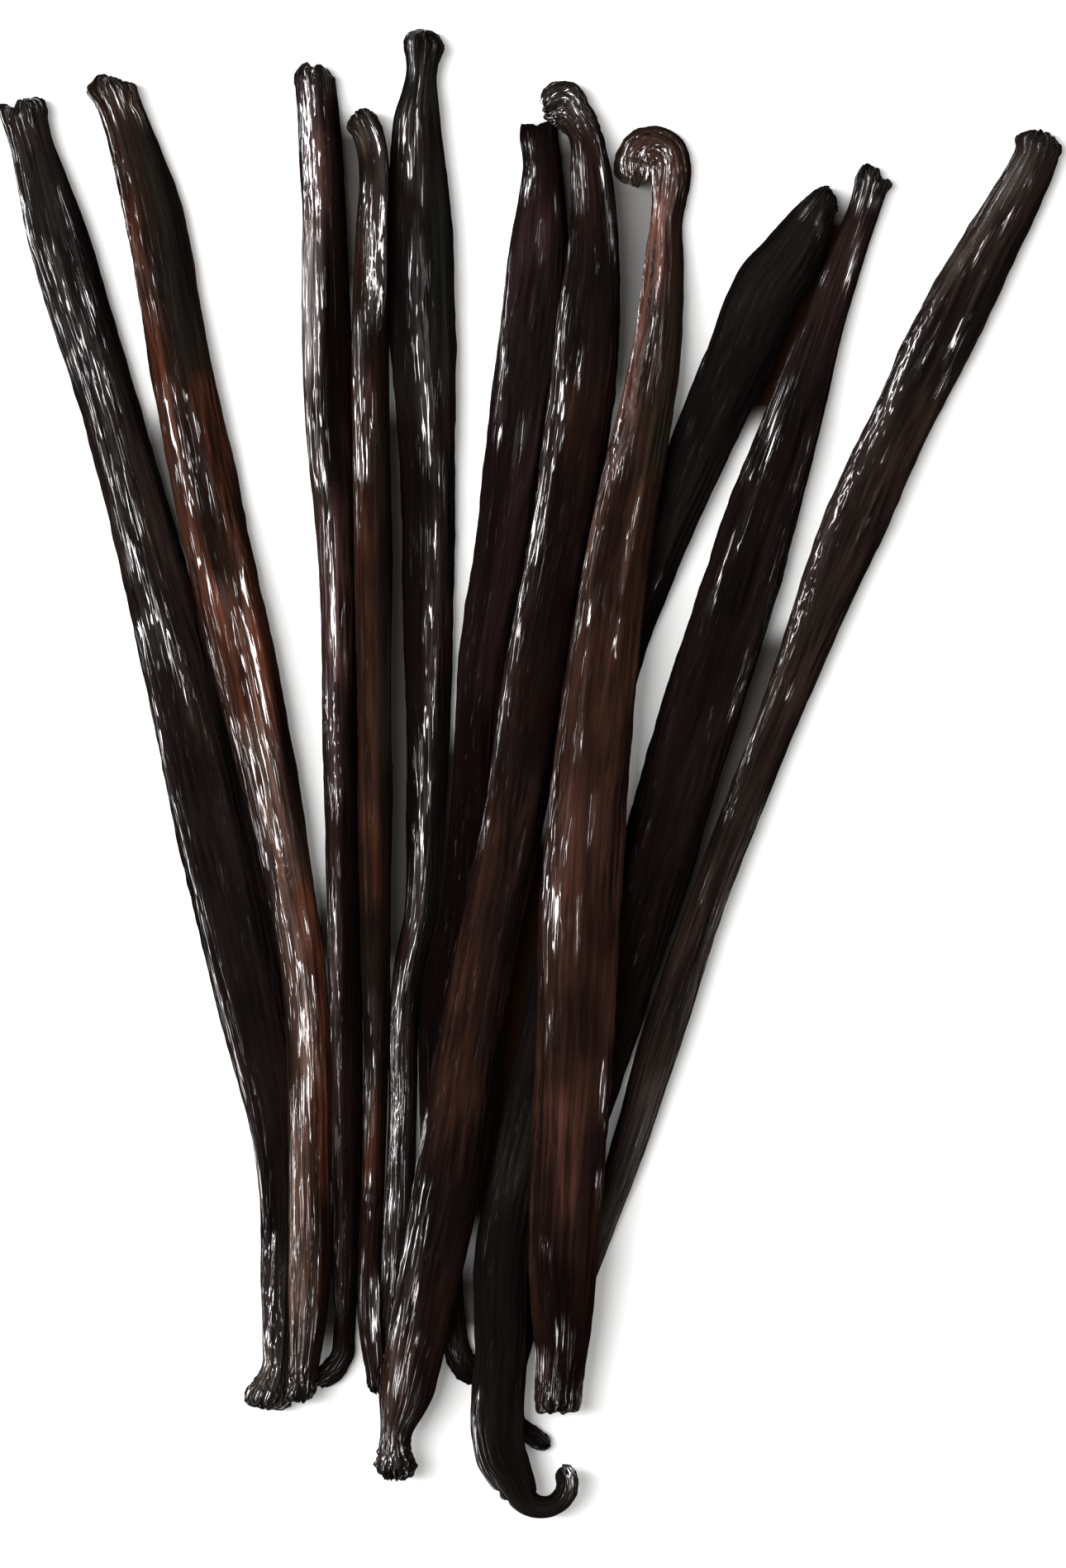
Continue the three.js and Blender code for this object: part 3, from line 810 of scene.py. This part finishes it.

# %% [markdown]
# ## The short pod
#
# Slim, amber on one side and black on the other, with painted shade along its right edge. Near its lower
# end sits a wart with a dimple: a bump, and a smaller sunk bump in its middle.

# %% The short pod
finish_pod(
    "pod_short", slot="amber_skin", seed=14, wet_ends=0.35,
    colours=dict(dark="110B08", brown="1E120D", warm="3E2217", dry="5C5044", end="16120E"),
    gleam=[
        (80, 52, 0.55, 0.62, 0.6, 1.1), (74, 56, -0.7, 0.5, 0.9, 0.7), (68, 52, -0.1, 0.15, 0.8, 0.65),
        (58, 33, -0.8, -0.72, 0.9, 1), (50, 34, -0.25, -0.1, 0.9, 0.8), (36, 26, -0.8, -0.8, 0.35, 0.7),
        (-24, -34, -0.1, 0, 0.6, 0.8), (-32, -48, -0.75, -0.75, 0.4, 0.7), (-31, -45, 0.15, -0.5, 0.5, 0.9),
        (-47, -55, -0.5, 0.4, 0.8, 0.9), (-56, -70, -0.6, -0.5, 0.4, 0.6), (-58, -74, 0.5, 0.6, 0.6, 0.9),
    ],
    warm=[
        (52, 24, -0.35, -0.25, 1.3, 0.8), (30, -10, -0.3, -0.3, 1.8, 0.3), (-2, -18, -0.3, -0.1, 1.4, 0.7),
        (-36, -52, -0.3, -0.2, 1, 0.8),
    ],
    green=[(80, 66, 0.1, 0.1, 2, 0.5), (45, -10, 0.65, 0.65, 1.4, 0.6)],
    dry=[(82, 74, -0.4, -0.6, 1.2, 0.5)],
    black=[(64, 20, 0.95, 0.9, 1.1, 0.63), (4, -50, 0.9, 0.85, 1.2, 0.63), (-54, -78, -0.1, 0, 1.3, 0.4)],
    smooth=[(30, -20, 0, 0, 3, 0.7), (-55, -66, 0, 0, 3, 0.8)],
    crackle=[(80, 50, 0, 0, 4, 0.4)],
    crests=[(80, 54, 0.62, 0.68, 0.45, 0.6), (-58, -74, 0.6, 0.66, 0.45, 0.5)],
    bumps=[(-19.5, -51.3, 0.8, 0.8), (-19.5, -51.3, 0.3, -0.6), (-16.6, 0.7, 0.5, 0.35)],
    pulls=[(-22, 78.6, 0.7, (-0.3, -0.3, 0)), (-20.6, 80.4, 0.8, (0.1, 0.2, 0))],
)

# %% [markdown]
# ## The tallest pod
#
# Near black, greenish towards the stem end, with a lengthwise crease. Four small pulls widen its
# knob. One large pull would draw the knob out into a spade.

# %% The tallest pod
finish_pod(
    "pod_tallest", slot="black_skin_tall", seed=15, wet_ends=0.25,
    colours=dict(dark="0D0A0A", brown="170F0C", warm="231611", green="151713"),
    gleam=[
        (93, 83, -0.62, -0.6, 0.6, 1.5), (83, 69, -0.35, -0.25, 0.9, 1), (82, 74, -0.7, -0.6, 0.5, 0.7),
        (90, 66, 0.02, 0.1, 0.4, 0.9), (70, 58, -0.12, -0.05, 0.4, 0.8), (66, 36, 0, 0.2, 1.1, 1.5),
        (56, 34, 0.15, 0.25, 0.8, 1.25), (40, 12, 0.5, 0.18, 0.5, 1), (32, 12, 0.1, 0.1, 0.6, 0.4),
        (22, 1, 0.2, 0.1, 0.6, 0.95), (17, 9, 0.5, 0.45, 0.4, 0.7), (7, -18, -0.3, -0.45, 0.6, 0.75),
        (3, -18, 0.3, -0.1, 0.7, 1), (-8, -21, -0.45, -0.35, 1.1, 0.8), (-22, -39, -0.15, -0.5, 0.6, 0.9),
        (-22, -72, -0.75, -0.6, 1.2, 1.4), (-12, -46, 0.05, 0, 0.7, 0.8), (-34, -56, -0.1, 0.3, 1, 0.45),
    ],
    warm=[(36, 4, 0.3, 0.2, 1, 0.5), (-15, -30, -0.4, -0.5, 1.2, 0.6)],
    green=[(90, 76, 0, 0, 3, 0.9), (78, 44, 0.5, 0.5, 2.2, 0.8)],
    black=[
        (80, 48, -0.85, -0.75, 1.3, 0.63), (46, -12, -0.75, -0.7, 1.9, 0.8), (20, -40, 0.9, 0.9, 1.2, 0.49),
        (91.5, 86, 0.2, 0.2, 1.6, 0.63),
    ],
    smooth=[(80, 46, 0.6, 0.6, 1.6, 0.7)],
    crackle=[(-27, -52, -0.8, -0.65, 1.5, 0.6)],
    crests=[(93, 83, -0.5, -0.5, 0.5, 0.6), (-50, -74, -0.72, -0.62, 0.5, 0.4)],
    pulls=[
        (-14.7, 89.4, 0.9, (-0.2, 0.25, 0)), (-11.9, 89.5, 0.9, (0.05, 0.3, 0)),
        (-11, 87.7, 1.1, (0.4, 0, 0)), (-15.3, 87.7, 1, (-0.15, 0, 0)),
    ],
)

# %% [markdown]
# ## The square-ended pod
#
# Purple black and nearly dull. Its stem end is cut off square: two pulls draw out the corners, and
# a third sinks the middle between them.

# %% The square-ended pod
finish_pod(
    "pod_square_ended", slot="purple_black_skin", seed=16, wet_ends=0,
    colours=dict(dark="130C0C", brown="211514", warm="241714", end="060404"),
    lumpy=((0.5, 3.4), (1.6, 4)),
    gleam=[
        (78.5, 74.5, -0.75, -0.65, 0.7, 1), (75.5, 68, -0.7, -0.6, 0.9, 1), (72, 66, 0.6, 0.65, 0.4, 0.8),
        (68, 60, 0.03, 0.08, 0.4, 0.8), (60, 53, -0.02, 0, 0.4, 0.7), (64, 42, -0.9, -0.75, 0.5, 1),
        (47, 38, -0.66, -0.66, 0.5, 0.7), (46, 35, 0, 0.1, 0.5, 0.7), (45, 38, 0.35, 0.3, 0.4, 0.6),
        (-66, -73, -0.5, 0, 1, 0.7),
    ],
    warm=[(40, 8, 0.3, 0.2, 1.5, 0.4)],
    black=[
        (80, 66, 0.2, 0.2, 3, 0.7), (44, -10, -0.55, -0.5, 2.8, 0.62), (-4, -44, -0.5, -0.5, 3, 0.75),
        (12, -40, 0.3, 0.3, 3, 0.49),
    ],
    smooth=[(80, 66, 0.2, 0.2, 3, 0.8), (40, 8, 0, 0, 3, 0.5)],
    crackle=[(76, 68, -0.6, -0.6, 2, 0.6)],
    bumps=[(0.2, -78.4, 0.6, 0.45), (1.2, -79.6, 0.5, -0.45), (2, -80.8, 0.6, 0.3)],
    pulls=[
        (-1.2, 78.8, 0.9, (-0.5, 0.55, 0.2)), (2.4, 78.8, 0.9, (0.4, 0.45, 0.2)),
        (0.6, 79, 0.6, (0, -0.25, 0)),
    ],
)

# %% [markdown]
# ## The front brown pod
#
# It crosses over its neighbours on the left. The stem end is crumpled into a hook, so there the lumps
# are strong and reach far, a crackle takes the place of the long lines, and a swell thickens it. Fine
# white ridges run down to the knobbed foot.

# %% The front brown pod
finish_pod(
    "pod_front_brown", slot="brown_skin_front", seed=17, wet_ends=1,
    colours=dict(dark="0D0807", brown="1C110D", warm="2E1A12", dry="3E3631", end="12100E"),
    gleam=[
        (79, 67, -0.97, -0.9, 0.6, 0.9), (78, 67, -0.75, -0.72, 0.35, 1), (78, 66, -0.5, -0.5, 0.35, 1),
        (77, 67, -0.25, -0.35, 0.3, 0.9), (84, 76, 0.2, 0.4, 1, 0.8), (80, 60, 0.6, 0.75, 0.5, 1),
        (66, 59, 0.2, 0.15, 0.35, 0.7), (68, 56, -1, -0.95, 0.5, 0.9), (61, 35, -0.95, -0.93, 0.8, 1),
        (40, 17, -0.85, -0.9, 1, 1), (24, 5, -0.88, -0.88, 0.7, 1), (9, -12, -0.95, -0.97, 0.5, 0.8),
        (53, 45, -0.15, -0.1, 0.4, 0.7), (50, 36, -0.62, -0.5, 0.5, 0.9), (-38, -72, -0.96, -0.98, 0.5, 1),
        (-48, -74, -0.58, -0.55, 0.6, 1), (-53, -73, -0.35, -0.35, 0.5, 0.8),
        (-55, -72, -0.8, -0.85, 0.5, 0.9), (-66, -85, -0.1, -0.5, 1.8, 1.4),
    ],
    warm=[
        (51, 34, -0.35, -0.2, 0.9, 0.8), (2, -32, -0.8, -0.7, 1.6, 0.45), (-18, -52, -0.4, -0.1, 3, 0.5),
        (-66, -80, -0.6, -0.4, 1.6, 0.9),
    ],
    dry=[(85, 77, 0, 0, 4, 0.35), (-80, -86, 0, 0, 3, 0.4)],
    black=[
        (46, -2, 0.25, 0.2, 2.8, 0.56), (26, -26, 0.9, 0.85, 1.4, 0.56), (-40, -78, 0.8, 0.8, 1.6, 0.35),
    ],
    swells=[(3, 4.5, 0.75)],
    lumpy=((1.6, 7), (2.3, 4.5)),
    crackle=[(86, 74, 0, 0, 6, 1), (-78, -87, 0, 0, 6, 1)],
    pulls=[
        (2.2, 80.8, 2, (0.4, -0.7, 0)), (4.2, 79.6, 1.8, (-0.7, -0.3, 0)),
        (7.6, 81.3, 2.4, (-0.8, -0.45, 0)), (-14.6, -79.8, 2.6, (-0.55, 0, 0)),
    ],
)

# %% [markdown]
# ## The pod with the curled stem
#
# It lies on top. The tightly curled stem end is crumpled and looks lacquered with oil, and the neck below
# it is a dusty pinkish red, with a painted sheen where it gleams. A crest inside the curl deepens the slit
# between its turns.

# %% The pod with the curled stem
finish_pod(
    "pod_curled_stem", slot="red_brown_skin", seed=18, wet_ends=1,
    colours=dict(
        dark="170C09", brown="291912", warm="6E453B", green="1D1B14", dry="4A3A2C", end="2A2018",
        painted_sheen="6E5048",
    ),
    lumpy=((0.8, 13), (1.3, 4)),
    gleam=[
        (88, 69, -0.35, -0.2, 1.5, 1.5), (76, 68, -0.7, -0.5, 0.8, 0.8), (74, 36, -0.8, -0.75, 1.3, 0.75),
        (72, 50, -0.3, -0.3, 1.1, 0.7), (63, 44, 0.12, 0.15, 0.5, 0.9), (67, 34, -0.72, -0.62, 1, 1.5),
        (49, 34, -0.3, -0.6, 0.8, 1), (40, 18, -0.98, -0.95, 0.9, 1), (24, 11, -0.97, -0.97, 0.5, 0.9),
        (37, 20, 0.4, 0.22, 0.4, 1), (21, 13, 0.3, 0.3, 0.35, 0.7), (24, 16, -0.5, -0.6, 0.4, 0.7),
        (19, 0, -0.45, -0.45, 0.5, 0.9), (14, -4, -0.97, -0.97, 0.5, 0.8), (2, -28, -0.9, -0.85, 0.6, 0.9),
        (1, -13, -0.5, -0.5, 0.4, 0.8), (-10, -23, -0.55, -0.65, 0.6, 1), (0, -10, 0.2, 0.1, 0.45, 0.8),
        (-13, -25, -0.02, -0.06, 0.3, 0.7), (-25, -35, -0.68, -0.75, 0.4, 0.7),
        (-32, -44, 0.78, 0.86, 0.4, 1), (-46, -53, 0.88, 0.93, 0.4, 1), (-55, -59, -0.7, -0.5, 0.6, 1),
        (-64, -73, 0, 0.3, 0.9, 1.1), (-68, -78, -0.85, -0.7, 1.2, 1.35),
    ],
    warm=[
        (72, 56, -0.6, -0.45, 1.6, 1), (62, 40, -0.7, -0.85, 1, 0.6), (4, -20, -0.5, -0.4, 1.6, 0.15),
        (-36, -56, -0.3, -0.2, 2.4, 0.2),
    ],
    green=[(86, 76, 0.6, 0.6, 2.4, 0.7), (72, 34, 0.75, 0.7, 2, 0.9)],
    black=[(90, 72, 0, 0, 6, 0.45), (-30, -76, 0.9, 0.9, 1.2, 0.2), (-56, -82, 0, 0.1, 4, 0.9)],
    crests=[(84, 68.5, -1, -1, 1, 0.95), (67, 34, -0.8, -0.7, 0.6, 0.55)],
    crackle=[(87, 70, 0, 0, 6, 1), (68, 32, -0.7, -0.65, 1.2, 0.8)],
    bumps=[(10, 38.9, 0.5, 0.35), (11.2, 38, 0.4, 0.3), (12.6, 74.8, 0.5, -0.5)],
    pulls=[
        (0.9, -76.2, 0.9, (-0.15, -0.9, 0)), (5.2, -76, 1, (0.2, -0.7, 0)), (3.2, -77, 0.5, (0, 0.3, 0)),
    ],
)

# %% [markdown]
# ## The pod with the curled tip
#
# The blackest and dullest pod, under all the others, with a big hook at its flower end and painted shade
# where the pods above it lie. Little of it gleams, so it is mostly shape. Small pulls sharpen both ends.

# %% The pod with the curled tip
finish_pod(
    "pod_curled_tip", slot="black_skin_curled", seed=19, wet_ends=0.2,
    colours=dict(dark="0B0908", brown="15110F", warm="19120F", end="0E0C0B"),
    gleam=[
        (70, 66, -0.5, -0.4, 0.6, 0.9), (69, 65, 0.2, 0.75, 0.6, 1), (50, 46, -0.85, -0.85, 0.3, 0.7),
        (43, 39, -0.5, -0.5, 0.3, 0.7), (26, 22, 0.55, 0.5, 0.4, 0.7), (-73, -89, -0.8, -0.85, 0.8, 1.5),
    ],
    black=[(30, -40, 0, 0, 5, 0.35), (-50, -80, 0.2, 0.2, 3, 0.35)],
    crests=[(-72, -90, -0.78, -0.8, 0.5, 0.5)],
    pulls=[
        (35.7, 70.8, 0.6, (0.1, 0.45, 0)), (37.2, 68.6, 0.6, (0.35, -0.3, 0)),
        (-4.3, -86.8, 0.35, (0.3, 0.3, 0)), (-3.1, -88, 0.35, (0.2, 0.3, 0)),
    ],
)

# %% [markdown]
# ## The grooved pod
#
# Dark, with a long groove: a crest that sinks. Its stem end is forked, which takes one pull up for
# each prong and one down between them.

# %% The grooved pod
finish_pod(
    "pod_right_grooved", slot="dark_grooved_skin", seed=20, wet_ends=0.55,
    colours=dict(dark="0C0807", brown="160E0C", warm="261A17"),
    gleam=[
        (73, 67, -0.6, -0.2, 0.8, 0.8), (71, 68, 0.5, 0.5, 0.5, 0.8), (68.5, 57, 0.05, 0.72, 0.5, 1),
        (62, 58, -0.75, -0.7, 0.5, 0.7), (56, 46, -0.8, -0.9, 0.6, 0.5), (50, 37, -0.8, -0.45, 1, 1),
        (45, 24, -0.42, -0.38, 0.4, 0.65), (40, 33, -0.8, -0.75, 0.5, 0.8), (30, 17, -0.6, -0.6, 0.4, 0.6),
        (14, 6, 0.85, 0.8, 0.4, 0.8), (45, 8, 0.75, 0.85, 0.8, 0.35),
    ],
    warm=[(70, 46, 0.1, 0.1, 3, 0.7)],
    black=[(45, -30, 0.3, 0.1, 4, 0.35)],
    crests=[(47, 0, 0.5, 0, 0.45, -0.45)],
    pulls=[
        (40.6, 73.6, 1.1, (-0.1, 0.6, 0.1)), (42.3, 72.6, 0.55, (-0.35, -1.1, -0.3)),
        (43.4, 71.4, 0.7, (0.55, 0.1, 0)),
    ],
)

# %% [markdown]
# ## The far right pod
#
# Dark brown and plump, with a broad streak of short glints down its left side and a greyish painted sheen
# on its right.

# %% The far right pod
finish_pod(
    "pod_far_right", slot="dark_brown_skin", seed=21, wet_ends=0.35,
    colours=dict(dark="120D0B", brown="201713", warm="2D211A", dry="544E49"),
    gleam=[
        (76, 62, -0.75, -0.7, 1.2, 0.9), (74, 63, 0.15, 0.25, 0.6, 1), (70, 60, -0.45, -0.15, 0.5, 1.1),
        (66, 56, -0.65, -0.35, 0.4, 1), (65, 48, 0.25, 0.5, 0.5, 1.1), (51, 45, 0.6, 0.65, 0.4, 0.8),
        (60, 22, -0.78, -0.74, 1.1, 1), (55, 46, -0.35, -0.2, 0.5, 0.9), (41, 35, 0, 0.05, 0.35, 0.7),
        (37, 27, 0.25, 0.25, 0.4, 0.7), (25, 10, -0.72, -0.72, 1, 0.9), (15, -2, -0.6, -1, 0.5, 0.9),
        (12, 8, 0.1, 0.1, 0.4, 0.6), (3, -8, -1, -0.75, 0.6, 0.9), (-10, -17, -0.3, -0.4, 0.4, 0.5),
        (0, -60, 0.9, 0.6, 1.2, 0.25),
    ],
    warm=[(68, 48, -0.5, -0.4, 1.2, 0.6), (50, 5, 0, -0.1, 2.5, 0.3), (-8, -26, -0.6, -0.5, 1.5, 0.5)],
    dry=[
        (78, 66, -0.75, -0.7, 1.4, 0.5), (65, 57, -0.85, -0.85, 0.7, 0.4), (0, -34, 0.85, 0.8, 1, 0.1),
        (-34, -62, 0.5, 0.5, 1.8, 0.25),
    ],
    crackle=[(59, 10, -0.75, -0.7, 2, 0.7)],
    bumps=[(60, 77.2, 0.7, 0.25)],
    pulls=[(58.8, 77.4, 0.8, (-0.35, 0.1, 0.1)), (59.2, 75.4, 0.8, (0.3, 0, 0))],
)

# %% [markdown]
# ## Shade between the pods
#
# The floor is a sheet of white paper, wide enough that every view ends on it. Where two pods lie close, the
# paper between them gets hardly any light, so shade is painted into its colour there. A row for each such
# pair says from which Y to which Y in mm, how wide in mm the gap may be and still be dark, and how dark the
# painted shade is. The gap at a point of the paper is the sum of its distances to both pods.

# %% How dark the gaps are
GAP_FADE = 1.0
ROW_STEP = 4
CLOSE_PAIRS = (
    ("far_left", "left_brown", 47, 24, 2.5, 0.83),
    ("left_brown", "on_edge", -8, -26, 2, 0.95),
    ("left_brown", "on_edge", -54, -72, 2.5, 0.95),
    ("on_edge", "short", 82, 56, 3.5, 0.92),
    ("short", "tallest", 47, -26, 4, 0.93),
    ("tallest", "square_ended", 7, -34, 2.5, 0.97),
    ("square_ended", "front_brown", 81, 62, 4, 0.93),
    ("front_brown", "curled_stem", 76, 44, 8, 0.76),
    ("front_brown", "curled_stem", -4, -30, 6, 1),
    ("front_brown", "curled_tip", -8, -58, 6, 1),
    ("front_brown", "curled_tip", -57, -72, 4, 0.93),
    ("curled_tip", "right_grooved", 72, 40, 4, 1),
    ("right_grooved", "far_right", 20, -34, 4, 0.94),
)


def clearance(x, y, skin):
    """How far points of the floor lie outside a pod's outline, in mm."""
    middle = skin["points"].mean(1)[::ROW_STEP]
    away = np.hypot(x[:, None] - middle[:, 0], y[:, None] - middle[:, 1])
    return np.maximum((away - skin["half_width"][::ROW_STEP]).min(1), 0)


def gap_shade(x, y):
    """How dark the paper is at points of the floor, from 0 to 1."""
    shade = np.zeros(len(x))
    for one, other, top, bottom, widest, amount in CLOSE_PAIRS:
        gap = clearance(x, y, skins["pod_" + one]) + clearance(x, y, skins["pod_" + other])
        reach = eased((top - y) / END_FADE) * eased((y - bottom) / END_FADE)
        shade = np.maximum(shade, amount * reach * eased((widest - gap) / GAP_FADE))
    return shade


print("pairs of pods with a dark gap:", len(CLOSE_PAIRS))

# %% [markdown]
# ## White paper
#
# Uncoated paper mirrors next to nothing and is a little grey by itself: it looks white because much light
# falls on it. Its glow is painted light that stands for light from below, and takes the paper's colour so
# that the gaps with painted shade stay dark.

# %% White paper
PAPER, PAPER_IN_PAINTED_SHADE = "D6D5D3", "1A0E06"
PAPER_GLOW = 0.09
MATT = {"Roughness": 1.0, "Specular IOR Level": 0.0}

paper, tree = blank("white_paper")
# The dark colour in the narrow gaps between pods is painted shade.
painted_gap_shade = add(tree, "Attribute", {}, "Fac", attribute_name="shade")
mixed = {0: painted_gap_shade, 6: linear(PAPER), 7: linear(PAPER_IN_PAINTED_SHADE)}
colour = add(tree, "Mix", mixed, data_type="RGBA")
glow = {"Emission Color": colour, "Emission Strength": PAPER_GLOW}
shader = add(tree, "BsdfPrincipled", {"Base Color": colour, **glow, **MATT})
add(tree, "OutputMaterial", {"Surface": shader})
print(paper.name, "has", len(tree.nodes), "nodes")

# %% [markdown]
# ## The sheet
#
# A plain grid is drawn together under the bundle by a high power of its own coordinates, so the shade
# gets cells under a millimetre there and the outer sheet needs only a few.

# %% Floor
FLOOR_HALF, FLOOR_CELLS = 1500.0, 360
FINE_SHARE, COARSE_POWER = 0.07, 9

floor_mesh = bpy.data.meshes.new("floor")
bm = bmesh.new()
bmesh.ops.create_grid(bm, x_segments=FLOOR_CELLS, y_segments=FLOOR_CELLS, size=1)
bm.to_mesh(floor_mesh)
bm.free()
place = np.empty(len(floor_mesh.vertices) * 3)
floor_mesh.vertices.foreach_get("co", place)
place = FLOOR_HALF * (FINE_SHARE * place + (1 - FINE_SHARE) * place**COARSE_POWER)
floor_mesh.vertices.foreach_set("co", place * MM)
shade = gap_shade(place[0::3], place[1::3])
attribute(floor_mesh, "shade", shade)
floor = in_scene("floor", floor_mesh)
floor_mesh.materials.append(paper)
print("floor:", len(place) // 3, "vertices,", int((shade > HALF).sum()), "of them in dark gaps")

# %% [markdown]
# ## Light
#
# A bright room keeps the shadows faint, and a window high on the left models the pods. What tells an
# oily skin from a dull one is its glints, and each glint is a small picture of a light. So a large
# panel on the left is there for the oil to mirror. It gives no diffuse light, which would wash out the
# browns. A weak fill on the right softens the dark sides. The plain view transform shows the colours as
# they are set.

# %% Lights
WORLD_STRENGTH = 0.8


def soft_light(name, direction, distance, size, radiance, colour, glints_only=False):
    """A rectangular light in a direction, given in degrees, that faces the bundle."""
    round_z, up = (math.radians(angle) for angle in direction)
    place = Vector((math.cos(up) * math.cos(round_z), math.cos(up) * math.sin(round_z), math.sin(up)))
    data = bpy.data.lights.new(name, "AREA")
    data.shape = "RECTANGLE"
    data.size, data.size_y = size
    data.energy = radiance * math.pi * size[0] * size[1]
    data.color = colour
    lamp = in_scene(name, data)
    lamp.location = place * distance
    lamp.rotation_euler = (-place).to_track_quat("-Z", "Y").to_euler()
    lamp.visible_diffuse = not glints_only
    print(name, "light:", round(data.energy, 1), "W")


soft_light("window", (170, 60), 1.4, (0.4, 1.2), 26, (0.98, 0.99, 1.0))
soft_light("panel", (176, 42), 1.5, (1.9, 1.8), 19, (1.0, 0.96, 0.95), glints_only=True)
soft_light("fill", (5, 25), 0.9, (0.5, 0.4), 0.5, (1.0, 1.0, 1.0))

world = bpy.data.worlds.new("room")
bpy.context.scene.world = world
world.use_nodes = True
background = world.node_tree.nodes["Background"].inputs
background["Color"].default_value = (1, 1, 1, 1)
background["Strength"].default_value = WORLD_STRENGTH
bpy.context.scene.view_settings.view_transform = "Standard"
